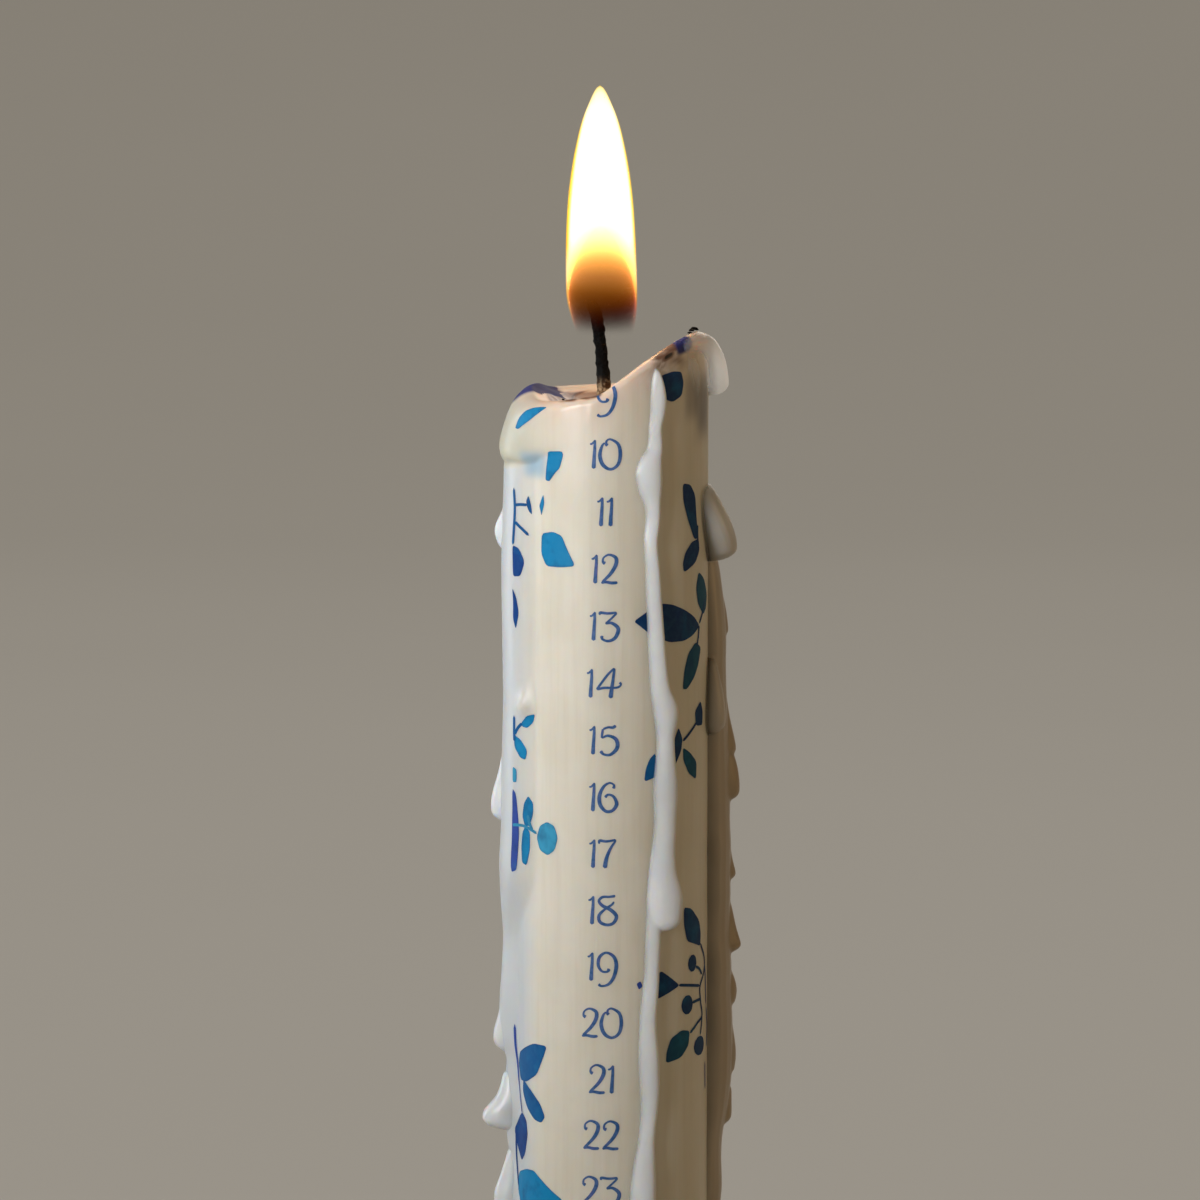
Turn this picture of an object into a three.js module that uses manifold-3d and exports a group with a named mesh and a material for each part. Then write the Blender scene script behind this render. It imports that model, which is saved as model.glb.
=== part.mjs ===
// A burnt-down dinner candle with a printed countdown: the wax stick with its melted rim and
// all the wax that ran down it, the wick, and the flame. Millimetres, +Z up. The origin is the
// middle of the flat foot, and the numbered side faces -Y. Angles on the candle are degrees
// round the axis from the front (-Y) towards +X.

import * as THREE from 'three';
import { mergeVertices } from 'three/addons/utils/BufferGeometryUtils.js';
import Module from 'manifold-3d';

// ---- driving dimensions -------------------------------------------------------------------
const CORE_RADIUS = 11;            // a 22 mm (7/8 in) candle, sized for a standard candlestick
const FOOT_RADIUS = 10.6;          // the foot is eased by a small chamfer
const FOOT_CHAMFER = 0.5;
const STRAIGHT_TO = 104;           // above this height the heat has reshaped the wax
const NOMINAL_RIM = 118;           // rim height that the wall profile below is drawn for
const LIP = 1.3;                   // rounding of the melted rim
const BOWL_FLOOR = 115.3;          // bottom of the shallow bowl round the wick
const WICK_X = -0.9;               // the wick stands a little left of the axis
const WICK_RADIUS = 0.9;
const BORE_RADIUS = 1.25;          // the hole the wick fills, with its clearance
const RUN_ROOT = 0.8;              // how far a run of wax is sunk into the core it fused with
const AROUND = 48;                 // facets round the core

// Height of the melted rim: [angle, height]. It is low and level on the left and stands up as
// a spur on the right, where the flame leaned away.
const RIM = [
  [-180, 117.8], [-150, 117.6], [-125, 117.4], [-108, 117.7], [-85, 117.1], [-60, 116.5],
  [-40, 116.5], [-22, 117.0], [-8, 117.6], [4, 119.3], [18, 121.1], [32, 122.6],
  [48, 123.8], [66, 124.5], [84, 124.2], [100, 122.9], [118, 120.9], [140, 118.8], [162, 117.9],
  [180, 117.8],
];

// ---- small tools ----------------------------------------------------------------------------

// Smooth value at x through rows [x, value, value, ...], as a Catmull-Rom curve.
function along(rows, x, column = 1) {
  let i = 0;
  while (i < rows.length - 2 && x > rows[i + 1][0]) i++;
  const a = rows[i];
  const b = rows[i + 1];
  const before = rows[Math.max(i - 1, 0)];
  const after = rows[Math.min(i + 2, rows.length - 1)];
  const width = b[0] - a[0];
  const t = THREE.MathUtils.clamp((x - a[0]) / width, 0, 1);
  const slopeA = ((b[column] - before[column]) / (b[0] - before[0])) * width;
  const slopeB = ((after[column] - a[column]) / (after[0] - a[0])) * width;
  const t2 = t * t;
  const t3 = t2 * t;
  return (2 * t3 - 3 * t2 + 1) * a[column] + (t3 - 2 * t2 + t) * slopeA
    + (3 * t2 - 2 * t3) * b[column] + (t3 - t2) * slopeB;
}

// The point at an angle, a height and a distance from the axis.
function onCandle(angle, height, radius) {
  const a = THREE.MathUtils.degToRad(angle);
  return new THREE.Vector3(radius * Math.sin(a), -radius * Math.cos(a), height);
}

// Moves every vertex of a geometry by a function of its place.
function reshape(geometry, place) {
  const position = geometry.attributes.position;
  const point = new THREE.Vector3();
  for (let i = 0; i < position.count; i++) {
    point.fromBufferAttribute(position, i);
    position.setXYZ(i, ...place(point, i).toArray());
  }
  return geometry;
}

const wasm = await Module();
wasm.setup();

function toSolid(geometry) {
  const bare = geometry.clone();
  bare.deleteAttribute('normal');
  bare.deleteAttribute('uv');
  const merged = mergeVertices(bare, 1e-4);
  return new wasm.Manifold(new wasm.Mesh({
    numProp: 3,
    vertProperties: new Float32Array(merged.attributes.position.array),
    triVerts: new Uint32Array(merged.index.array),
  }));
}

function toGeometry(solid) {
  const mesh = solid.getMesh();
  const geometry = new THREE.BufferGeometry();
  geometry.setAttribute('position', new THREE.BufferAttribute(mesh.vertProperties, mesh.numProp));
  geometry.setIndex(new THREE.BufferAttribute(mesh.triVerts, 1));
  geometry.computeVertexNormals();
  return geometry;
}

function piece(name, geometry, color, roughness) {
  const material = new THREE.MeshStandardMaterial({ color, roughness, metalness: 0 });
  const mesh = new THREE.Mesh(geometry, material);
  mesh.name = name;
  return mesh;
}

// ---- the core: a lathe blank whose top is moved up to the melted rim ------------------------
function coreGeometry() {
  const lipStart = NOMINAL_RIM - LIP;
  const bowl = [9.0, 7.4, 5.6, 3.8, 2.2];
  const profile = [
    new THREE.Vector2(0, 0),
    new THREE.Vector2(FOOT_RADIUS, 0),
    new THREE.Vector2(CORE_RADIUS, FOOT_CHAMFER),
    ...[50, STRAIGHT_TO, 110].map((z) => new THREE.Vector2(CORE_RADIUS, z)),
  ];
  for (let i = 0; i <= 4; i++) {
    const turn = (i / 4) * (Math.PI / 2);
    profile.push(new THREE.Vector2(
      CORE_RADIUS - LIP * (1 - Math.cos(turn)),
      lipStart + LIP * Math.sin(turn),
    ));
  }
  const bowlEdge = bowl[0];
  for (const radius of bowl) {
    const rise = (radius / bowlEdge) ** 1.7;
    profile.push(new THREE.Vector2(radius, BOWL_FLOOR + (NOMINAL_RIM - 0.3 - BOWL_FLOOR) * rise));
  }
  profile.push(new THREE.Vector2(0, BOWL_FLOOR));

  const blank = new THREE.LatheGeometry(profile, AROUND).rotateX(Math.PI / 2);
  return reshape(blank, (point) => {
    const radius = Math.hypot(point.x, point.y);
    const angle = THREE.MathUtils.radToDeg(Math.atan2(point.x, -point.y));
    const rim = along(RIM, angle);
    if (point.z > STRAIGHT_TO) {
      if (radius > bowlEdge + 0.01) {
        const share = (point.z - STRAIGHT_TO) / (NOMINAL_RIM - STRAIGHT_TO);
        point.z = STRAIGHT_TO + share * (rim - STRAIGHT_TO);
      } else {
        const share = (point.z - BOWL_FLOOR) / (NOMINAL_RIM - BOWL_FLOOR);
        point.z = BOWL_FLOOR + share * (rim - BOWL_FLOOR);
        point.x += WICK_X * (1 - radius / bowlEdge);
      }
    }
    return point;
  });
}

// ---- runs of wax ----------------------------------------------------------------------------
// A run is a closed tube laid down the candle through stations, each
// [angle, height, half its width, how far it stands out]. Its ends are rounded.
function runGeometry(stations, { sides = 8, step = 3.2, topRound = 0.9, endRound = 1.4 } = {}) {
  const heights = stations.map(([, height]) => height);
  const length = heights[0] - heights[heights.length - 1];
  const rings = Math.max(9, Math.min(26, Math.round(length / step)));
  const rows = stations.map(([angle, height, half, out]) => [-height, angle, half, out]);
  const tube = new THREE.SphereGeometry(1, sides, rings).rotateX(Math.PI / 2);
  return reshape(tube, (point) => {
    // the sphere's own latitude says which ring this is, and its longitude which side
    const latitude = Math.acos(THREE.MathUtils.clamp(point.z, -1, 1)) / Math.PI;
    const turn = Math.atan2(-point.y, point.x);
    const eased = 0.5 - 0.5 * Math.cos(latitude * Math.PI);
    const share = THREE.MathUtils.lerp(latitude, eased, 0.55);
    const height = heights[0] - share * length;
    const fromTop = (share * length) / topRound;
    const fromEnd = ((1 - share) * length) / endRound;
    const near = Math.min(fromTop, fromEnd, 1);
    const full = Math.sqrt(Math.max(0, 1 - (1 - near) ** 2));
    const angle = along(rows, -height, 1);
    const half = along(rows, -height, 2) * full;
    const out = along(rows, -height, 3) * full;
    const sideways = THREE.MathUtils.radToDeg((half * Math.cos(turn)) / CORE_RADIUS);
    const up = Math.sin(turn);
    const radius = CORE_RADIUS - 0.25 + (up > 0 ? (out + 0.25) * up : RUN_ROOT * full * up);
    return onCandle(angle + sideways, height, radius);
  });
}

const RUNS = {
  // front: a narrow run from the foot of the spur, ending in a drop, over an older, longer one
  front_upper: [
    [24.5, 121.2, 0.5, 0.3], [24.4, 117.2, 1.3, 0.9], [22.3, 114.3, 1.1, 1.1],
    [19.8, 110, 1.5, 1.4], [23, 105.9, 1.1, 1.2], [23, 99, 0.85, 1.1], [24.5, 94, 1.0, 1.1],
    [26, 88.8, 0.95, 1.1], [29, 84.2, 1.2, 1.3], [31.7, 81.2, 1.5, 1.6], [31.6, 78.2, 1.15, 1.3],
    [31.8, 72.8, 1.5, 1.5], [31.3, 67.5, 1.45, 1.4], [30, 63.4, 1.7, 1.6],
    [31, 59.8, 2.1, 1.9], [30.2, 56.2, 1.7, 1.7],
  ],
  front_lower: [
    [24.5, 60, 1.1, 0.8], [23, 51, 1.0, 1.0], [20.8, 46.3, 1.1, 1.1], [21.2, 41.7, 1.3, 1.2],
    [21.9, 37, 1.15, 1.1], [20, 32.4, 1.05, 1.1], [18.5, 29.5, 1.4, 1.4],
    [17.5, 26.5, 1.6, 1.6], [17, 22.5, 1.5, 1.6], [17, 18.9, 1.6, 1.7],
  ],
  // left: the slumped shoulder, the wide smooth coat below it, and the drops that set on it
  left_shoulder: [
    [-66, 116.4, 2.6, 0.1], [-74, 114.6, 4.8, 0.8], [-78, 112.4, 6.0, 1.5],
    [-82, 110.8, 6.0, 2.05], [-84, 108.7, 4.6, 2.0],
  ],
  left_coat: [
    [-93, 112, 3.8, 1.4], [-93, 104, 4.4, 1.6], [-94, 92, 4.4, 1.6], [-93, 80, 4.3, 1.6],
    [-94, 70, 4.6, 1.7], [-95, 56, 4.5, 2.0], [-95, 44, 4.4, 2.1], [-95, 34, 4.2, 1.9],
    [-94, 28, 3.8, 1.25], [-94, 23, 3.8, 1.9], [-94, 18.4, 3.2, 1.5],
  ],
  left_drop_1: [[-108, 113, 1.2, 1.0], [-107, 104, 1.2, 1.5], [-106, 100.5, 1.7, 3.1],
    [-106, 97.8, 1.4, 2.7]],
  left_drop_2: [[-90, 80, 1.3, 1.5], [-91, 72.5, 1.5, 2.2], [-91, 69.2, 1.9, 3.35],
    [-91, 67.1, 1.6, 3.2]],
  left_drop_3: [[-92, 50, 1.6, 2.0], [-92, 45, 1.8, 2.2], [-92, 41.6, 2.0, 2.95],
    [-92, 39.2, 1.7, 2.8]],
  left_drop_4: [[-90, 39.0, 1.0, 1.7], [-90, 34.4, 1.4, 2.6], [-90, 32.2, 1.6, 4.35],
    [-90, 30.4, 1.3, 4.1]],
  left_drop_5: [[-88, 29.5, 1.2, 1.1], [-89, 25.5, 1.6, 2.2], [-90, 22.4, 1.7, 2.7],
    [-90, 19.9, 1.4, 2.3]],
  left_thread: [[-60, 97.5, 0.6, 0.3], [-61, 90, 0.7, 0.4], [-63, 85, 1.0, 0.6],
    [-66, 82.6, 1.9, 1.2], [-68, 80.3, 1.7, 1.1]],
  // right: the finger that hangs off the spur, a fat drop, and layered runs below them
  right_finger: [[62, 124.5, 1.3, 0.2], [74, 123.4, 1.7, 1.2], [84, 121.2, 1.7, 2.0],
    [89, 118.6, 1.6, 2.35], [90, 117.0, 1.4, 2.2]],
  right_film: [[96, 119.5, 3.6, 0.6], [94, 112, 3.8, 0.75], [94, 104, 3.6, 0.8],
    [94, 94, 3.4, 1.2]],
  right_drop: [[72, 107.6, 1.6, 0.4], [77, 104, 2.4, 1.7], [81, 101, 2.3, 2.9],
    [83, 97.7, 1.9, 3.25]],
  right_coat: [[90, 98, 3.4, 1.2], [90, 90, 4.0, 1.9], [91, 82, 4.2, 2.0], [92, 72, 4.0, 2.3],
    [92, 60, 4.2, 2.5], [92, 48, 4.2, 2.5], [93, 38, 4.0, 2.6], [93, 30, 3.4, 1.9],
    [93, 24, 3.0, 1.6], [93, 18.6, 2.6, 1.4]],
  right_drop_1: [[98, 96, 1.3, 1.8], [98, 91.5, 1.5, 2.3], [98, 88.3, 1.6, 2.75]],
  right_drop_2: [[80, 88, 1.2, 1.5], [79, 84, 1.5, 1.9], [80, 79.3, 1.6, 1.9]],
  right_drop_3: [[97, 86, 1.4, 2.0], [98, 78.5, 1.6, 3.0], [98, 74.4, 1.7, 3.6]],
  right_drop_4: [[95, 77, 1.3, 2.6], [96, 73.2, 1.5, 3.9], [96, 69.6, 1.4, 3.8]],
  right_drop_5: [[97, 69, 1.3, 2.4], [97, 63.4, 1.5, 3.2], [97, 60.0, 1.6, 3.7]],
  right_drop_6: [[96, 59, 1.3, 2.6], [97, 54.6, 1.5, 3.8], [97, 51.4, 1.5, 4.4]],
  right_drop_7: [[98, 51, 1.5, 2.6], [98, 46, 1.9, 3.5], [98, 41.5, 1.6, 2.9]],
  right_drop_8: [[96, 41.5, 1.4, 2.7], [97, 37.6, 1.7, 3.45], [97, 31.0, 1.5, 3.1]],
  // back
  back_1: [[122, 120.4, 1.0, 0.3], [126, 112, 1.3, 1.1], [124, 96, 1.5, 1.4], [127, 80, 1.3, 1.3],
    [129, 66, 1.7, 2.1], [129, 59, 2.1, 2.8]],
  back_2: [[146, 118.2, 0.9, 0.2], [149, 104, 1.1, 0.9], [148, 86, 1.2, 1.0], [151, 64, 1.3, 1.1],
    [150, 44, 1.5, 1.3], [151, 33, 1.9, 1.7]],
  back_3: [[178, 117.6, 1.1, 0.2], [179, 108, 1.4, 0.7], [177, 98, 1.7, 1.0], [178, 91, 2.1, 1.3]],
  back_4: [[-148, 117.3, 1.2, 0.2], [-151, 100, 1.4, 1.0], [-149, 82, 1.3, 1.1],
    [-152, 60, 1.4, 1.2], [-151, 40, 1.5, 1.3], [-152, 19.5, 1.9, 1.7]],
  back_5: [[-124, 117, 1.4, 0.3], [-126, 98, 1.8, 1.5], [-124, 76, 1.7, 1.5],
    [-126, 55, 2.2, 2.6]],
};

function waxBody() {
  let solid = toSolid(coreGeometry());
  for (const stations of Object.values(RUNS)) solid = solid.add(toSolid(runGeometry(stations)));
  const bore = new THREE.CylinderGeometry(BORE_RADIUS, BORE_RADIUS, 2 * NOMINAL_RIM, 16)
    .rotateX(Math.PI / 2)
    .translate(WICK_X, 0, 0);
  return toGeometry(solid.subtract(toSolid(bore)));
}

// ---- the wick: a braided cotton cord, its charred end bent over -------------------------------
const WICK_START = 0.35;           // cut just short of the foot
const WICK_ROUTE = [
  [0, 0, WICK_START], [0, 0, 40], [0, 0, 80], [0, 0, 112], [-0.05, 0, 117], [-0.35, -0.1, 121.5],
  [-0.75, -0.3, 125], [-1.3, -0.5, 127], [-2.05, -0.6, 128.2],
];

function wick() {
  const route = WICK_ROUTE.map(([x, y, z]) => new THREE.Vector3(WICK_X + x, y, z));
  const section = new THREE.Shape().absarc(0, 0, WICK_RADIUS, 0, 2 * Math.PI);
  return new THREE.ExtrudeGeometry(section, {
    curveSegments: 5,
    steps: 60,
    bevelEnabled: false,
    extrudePath: new THREE.CatmullRomCurve3(route, false, 'centripetal'),
  });
}

// ---- the flame: its glowing mantle, open below round the wick ---------------------------------
const FLAME_FOOT = 122.7;
const FLAME_TIP = 152.4;
const MANTLE = 0.45;               // thickness of the glowing skin
const FLAME_LEAN = [[FLAME_FOOT, -0.85], [129, -1.25], [FLAME_TIP, -1.44]];
const FLAME_HALF_WIDTH = [
  [FLAME_FOOT, 2.8], [124.5, 3.3], [127, 3.85], [130, 4.1], [134, 4.0], [139, 3.65],
  [144, 2.95], [148, 2.1], [151, 1.05],
];

function flame() {
  const outside = FLAME_HALF_WIDTH.map(([z, half]) => new THREE.Vector2(half, z));
  const inside = FLAME_HALF_WIDTH.map(([z, half]) => new THREE.Vector2(half - MANTLE, z));
  const profile = [
    new THREE.Vector2(0, FLAME_TIP - 2.2 * MANTLE),
    ...inside.reverse(),
    ...outside,
    new THREE.Vector2(0, FLAME_TIP),
  ];
  const mantle = new THREE.LatheGeometry(profile, 24).rotateX(Math.PI / 2);
  return reshape(mantle, (point) => point.setX(point.x + along(FLAME_LEAN, point.z)));
}

const candle = new THREE.Group();
candle.add(
  piece('wax_body', waxBody(), 0xd9d3c2, 0.42),
  piece('wick', wick(), 0x2a2320, 0.9),
  piece('flame', flame(), 0xffc860, 0.6),
);

export default candle;
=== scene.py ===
import math

import bmesh
import bpy
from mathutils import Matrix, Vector, noise


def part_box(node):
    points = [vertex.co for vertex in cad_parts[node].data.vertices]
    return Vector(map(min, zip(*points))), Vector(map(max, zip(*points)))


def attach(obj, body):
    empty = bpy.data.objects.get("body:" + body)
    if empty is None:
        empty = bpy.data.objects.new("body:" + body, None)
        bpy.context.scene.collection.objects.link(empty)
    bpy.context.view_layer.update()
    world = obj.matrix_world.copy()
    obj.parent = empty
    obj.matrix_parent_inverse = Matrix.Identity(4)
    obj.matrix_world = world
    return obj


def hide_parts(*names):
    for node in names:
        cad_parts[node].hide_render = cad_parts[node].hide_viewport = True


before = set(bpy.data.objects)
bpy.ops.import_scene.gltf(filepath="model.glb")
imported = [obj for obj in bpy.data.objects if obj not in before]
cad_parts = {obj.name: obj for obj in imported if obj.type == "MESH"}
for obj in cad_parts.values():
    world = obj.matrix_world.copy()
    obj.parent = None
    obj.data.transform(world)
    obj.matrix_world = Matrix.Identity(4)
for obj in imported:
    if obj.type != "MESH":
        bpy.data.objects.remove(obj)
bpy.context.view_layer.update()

# A burnt-down dinner candle with a printed countdown, seen from a little above its middle.
# Sizes are in millimetres and are turned into metres as each mesh is finished. Angles on the
# candle are degrees round it, from the numbered front (-Y) towards +X.

# ---- Camera -----------------------------------------------------------------------------------
# A long lens 0.6 m away, looking 6 degrees down, so that the candle's foot falls below the
# frame and the flame has air above it.
MM = 0.001
CAMERA_AWAY = 600
CAMERA_DOWN = math.radians(6)
CAMERA_AIM = Vector((-1.44, 0, 93.4))
CAMERA_LENS = 156.24

eye = CAMERA_AIM + CAMERA_AWAY * Vector((0, -math.cos(CAMERA_DOWN), math.sin(CAMERA_DOWN)))
lens = bpy.data.cameras.new("camera")
lens.sensor_width = 36
lens.lens = CAMERA_LENS
lens.clip_start = 0.01
lens.clip_end = 50
camera = bpy.data.objects.new("camera", lens)
camera.location = eye * MM
camera.rotation_euler = (math.pi / 2 - CAMERA_DOWN, 0, 0)
bpy.context.scene.collection.objects.link(camera)
bpy.context.scene.camera = camera


# ---- Materials' own arithmetic ----------------------------------------------------------------
# The floor is the first thing painted, so the small tool for node materials is here: a Paint
# holds one socket, sums on it become Math nodes, and every other node comes from node().
class Paint:
    def __init__(self, tree, socket=None):
        self.tree = tree
        self.socket = socket

    def node(self, kind, settings=None, inputs=None, output=0):
        made = self.tree.nodes.new(kind)
        for key, value in (settings or {}).items():
            if key == "stops":
                ramp = made.color_ramp
                while len(ramp.elements) < len(value):
                    ramp.elements.new(0.5)
                for element, (place, colour) in zip(ramp.elements, value):
                    element.position = place
                    element.color = colour
            else:
                setattr(made, key, value)
        for key, value in (inputs or {}).items():
            if isinstance(value, Paint):
                self.tree.links.new(value.socket, made.inputs[key])
            else:
                made.inputs[key].default_value = value
        return Paint(self.tree, made.outputs[output])

    def math(self, operation, a, b):
        return self.node("ShaderNodeMath", {"operation": operation}, {0: a, 1: b})

    def __add__(self, other):
        return self.math("ADD", self, other)

    def __mul__(self, other):
        return self.math("MULTIPLY", self, other)

    def __sub__(self, other):
        return self.math("SUBTRACT", self, other)

    def __rsub__(self, other):
        return self.math("SUBTRACT", other, self)

    def __truediv__(self, other):
        return self.math("DIVIDE", self, other)

    def __pow__(self, other):
        return self.math("POWER", self, other)

    __radd__ = __add__
    __rmul__ = __mul__

    def step(self, low, high):
        """0 below low, 1 above high, smooth between them."""
        settings = {"interpolation_type": "SMOOTHSTEP"}
        return self.node("ShaderNodeMapRange", settings, {0: self, 1: low, 2: high})

    def mix(self, a, b):
        """The colour a where this is 0, and b where it is 1."""
        return self.node("ShaderNodeMix", {"data_type": "RGBA"}, {0: self, 6: a, 7: b}, 2)

    def place(self):
        return self.node("ShaderNodeTexCoord", output=3)

    def axis(self, number):
        """One coordinate on the piece itself, in metres: 0 to the right, 1 to the back, 2 up."""
        return self.node("ShaderNodeSeparateXYZ", None, {0: self.place()}, number)

    def attribute(self, name, output=2):
        return self.node("ShaderNodeAttribute", {"attribute_name": name}, output=output)

    def cloud(self, scale, detail, stretch=(1, 1, 1)):
        """Soft noise from 0 to 1 on the object's own coordinates."""
        spread = self.node("ShaderNodeMapping", None, {0: self.place(), 3: stretch})
        inputs = {"Vector": spread, "Scale": scale, "Detail": detail}
        return self.node("ShaderNodeTexNoise", None, inputs)

    def bump(self, height, distance, strength):
        inputs = {"Height": height, "Distance": distance, "Strength": strength}
        return self.node("ShaderNodeBump", None, inputs)


def screen(red, green, blue):
    """A colour given as it shows on a screen, 0 to 255, as a linear one."""
    return tuple((c / 255) ** 2.2 for c in (red, green, blue)) + (1.0,)


def coated(colour, *coats):
    """A colour under coats of (how much, screen colour), each laid over the ones before it."""
    for much, over in coats:
        colour = much.mix(colour, screen(*over))
    return colour


def material(name, fixed):
    """A new material and a Paint on its tree. fixed are the shader's own plain values."""
    made = bpy.data.materials.new(name)
    made.use_nodes = True
    shader = made.node_tree.nodes["Principled BSDF"]
    for key, value in fixed.items():
        shader.inputs[key].default_value = value
    return made, Paint(made.node_tree), shader


def feed(shader, **links):
    """Links values that change over the surface to the shader's sockets."""
    for key, value in links.items():
        socket = shader.inputs[key.replace("_", " ").title()]
        value.tree.links.new(value.socket, socket)


# ---- Floor, backdrop and light ----------------------------------------------------------------
# A round, pale studio cove well behind the camera on every side, with a lamp of its own. A soft
# box on the left, aimed at the top of the candle, lights the numbered side, a cool one grazes the
# left edge, and a weak warm one keeps the right side brown.
FLOOR_OUT = 1.1
COVE_BEND = 1.5
COVE_TOP = 3.0
COVE_STEPS = 18

cove_mesh = bmesh.new()
cove_line = [Vector((0, 0, 0)), Vector((FLOOR_OUT, 0, 0))]
for i in range(1, COVE_STEPS + 1):
    turn = math.radians(90 * i / COVE_STEPS)
    out = FLOOR_OUT + COVE_BEND * math.sin(turn)
    cove_line.append(Vector((out, 0, COVE_BEND * (1 - math.cos(turn)))))
cove_line.append(Vector((FLOOR_OUT + COVE_BEND, 0, COVE_TOP)))
cove_verts = [cove_mesh.verts.new(p) for p in cove_line]
cove_edges = [cove_mesh.edges.new(pair) for pair in zip(cove_verts, cove_verts[1:])]
bmesh.ops.spin(cove_mesh, geom=cove_verts + cove_edges, cent=(0, 0, 0), axis=(0, 0, 1),
               angle=math.tau, steps=96, use_merge=True)
bmesh.ops.remove_doubles(cove_mesh, verts=cove_mesh.verts, dist=1e-5)
bmesh.ops.recalc_face_normals(cove_mesh, faces=cove_mesh.faces)
cove_data = bpy.data.meshes.new("cove")
cove_mesh.to_mesh(cove_data)
cove_mesh.free()
for face in cove_data.polygons:
    face.use_smooth = True
cove = bpy.data.objects.new("cove", cove_data)
bpy.context.scene.collection.objects.link(cove)
cove.visible_diffuse = False

cove_paint, paint, shader = material("pale_plaster", {"Roughness": 0.9})
mottle = paint.cloud(3.0, 4.0)
feed(shader, base_color=mottle.mix(screen(206, 203, 198), screen(212, 209, 204)))
cove_data.materials.append(cove_paint)

backdrop_only = bpy.data.collections.new("backdrop_only")
backdrop_only.objects.link(cove)
candle_only = bpy.data.collections.new("candle_only")
candle_only.objects.link(cove)
candle_only.collection_objects[0].light_linking.link_state = "EXCLUDE"


def soft_box(name, angle, up, away, size, watts, colour, spread=180, aim=0.085, lights=None):
    """An area light at an angle round the candle, up degrees above it, facing the height aim."""
    light = bpy.data.lights.new(name, "AREA")
    light.shape = "RECTANGLE"
    light.size, light.size_y = size
    light.energy = watts
    light.color = colour
    light.spread = math.radians(spread)
    turn, lift = math.radians(angle), math.radians(up)
    out = Vector((math.sin(turn) * math.cos(lift), -math.cos(turn) * math.cos(lift),
                  math.sin(lift)))
    box = bpy.data.objects.new(name, light)
    box.location = Vector((0, 0, aim)) + out * away
    box.rotation_euler = out.to_track_quat("Z", "Y").to_euler()
    box.light_linking.receiver_collection = lights or candle_only
    bpy.context.scene.collection.objects.link(box)


soft_box("key", -46, 8, 0.50, (0.20, 0.20), 0.225, (0.98, 0.99, 1.0), 50, 0.150)
soft_box("left_edge", -118, 6, 0.45, (0.16, 0.36), 0.60, (0.80, 0.90, 1.0))
soft_box("warm_fill", 80, 14, 0.6, (0.25, 0.35), 0.34, (1.0, 0.62, 0.28))
soft_box("back_fill", 165, 22, 0.7, (0.3, 0.4), 0.55, (1.0, 0.93, 0.86))
soft_box("cove_lamp", 0, 89, 2.6, (1.6, 1.6), 28, (1.0, 0.985, 0.96), lights=backdrop_only)

sky = bpy.data.worlds.new("sky")
sky.use_nodes = True
sky.node_tree.nodes["Background"].inputs["Color"].default_value = (1.0, 0.84, 0.58, 1)
sky.node_tree.nodes["Background"].inputs["Strength"].default_value = 0.14
bpy.context.scene.world = sky
bpy.context.scene.view_settings.view_transform = "Standard"


# ---- Wax stick --------------------------------------------------------------------------------
# One moulded stick of ivory paraffin wax, 22 mm thick, bored for the wick. The flame has eaten
# its top into a shallow bowl with a rounded, wet rim: low and slumped on the left, and standing
# up as a spur on the right, where the flame leaned away.
CORE = 11.0                        # half the stick's thickness
FOOT = 10.6                        # half the flat it stands on
BORE = 1.0                         # half the hole for the wick
WICK_X = -0.9                      # the hole lies a little left of the middle
STRAIGHT_TO = 104.0                # nothing has melted below this height
BOWL_FLOOR = 115.3
BOWL_EDGE = 0.16                   # how far inside the rim's rounding the bowl begins
MELTED_DOWN = 3.2                  # how far below the rim the wax still looks molten

# (angle, height of the rim's crest), and (angle, radius of its rounding)
RIM = [
    (-180, 117.8), (-150, 117.6), (-135, 117.6), (-120, 118.1), (-106, 117.8), (-85, 117.1),
    (-60, 116.7), (-40, 116.9), (-22, 117.3), (-8, 117.8), (4, 119.3), (18, 121.1), (32, 122.6),
    (48, 123.8), (66, 124.5), (84, 124.2), (100, 122.9), (118, 120.9), (140, 118.8),
    (162, 117.9), (180, 117.8),
]
LIP = [(-180, 1.3), (-130, 1.1), (-112, 1.3), (-92, 2.2), (-60, 1.9), (-30, 1.1), (0, 0.9),
       (60, 0.9), (120, 1.0), (180, 1.3)]


def along(rows, x, column=1):
    """A smooth value at x through rows of (x, value, value, ...)."""
    i = 0
    while i < len(rows) - 2 and x > rows[i + 1][0]:
        i += 1
    a, b = rows[i], rows[i + 1]
    before, after = rows[max(i - 1, 0)], rows[min(i + 2, len(rows) - 1)]
    width = b[0] - a[0]
    t = min(max((x - a[0]) / width, 0.0), 1.0)
    slope_a = (b[column] - before[column]) / (b[0] - before[0]) * width
    slope_b = (after[column] - a[column]) / (after[0] - a[0]) * width
    return ((2 * t**3 - 3 * t**2 + 1) * a[column] + (t**3 - 2 * t**2 + t) * slope_a
            + (3 * t**2 - 2 * t**3) * b[column] + (t**3 - t**2) * slope_b)


def clamp(x):
    return min(max(x, 0.0), 1.0)


def patch(x, wide, power=2):
    """1 where x is 0, fading out past wide on both sides. A power of 4 gives it a firm edge."""
    return math.exp(-(x / wide) ** power)


def lumps(x, y, z):
    """Smooth unevenness, from about -1 to 1, that is the same each time."""
    return noise.noise(Vector((x, y, z)))


def on_candle(angle, height, radius):
    turn = math.radians(angle)
    return Vector((radius * math.sin(turn), -radius * math.cos(turn), height))


def angle_of(point):
    return math.degrees(math.atan2(point.x, -point.y))


def wall(angle, height):
    """Distance from the axis to the outside of the stick, rounded in at the rim."""
    lip = along(LIP, angle)
    above = height - (along(RIM, angle) - lip)
    if above <= 0:
        return CORE
    return CORE - lip + math.sqrt(max(lip * lip - above * above, 0.0))


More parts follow.
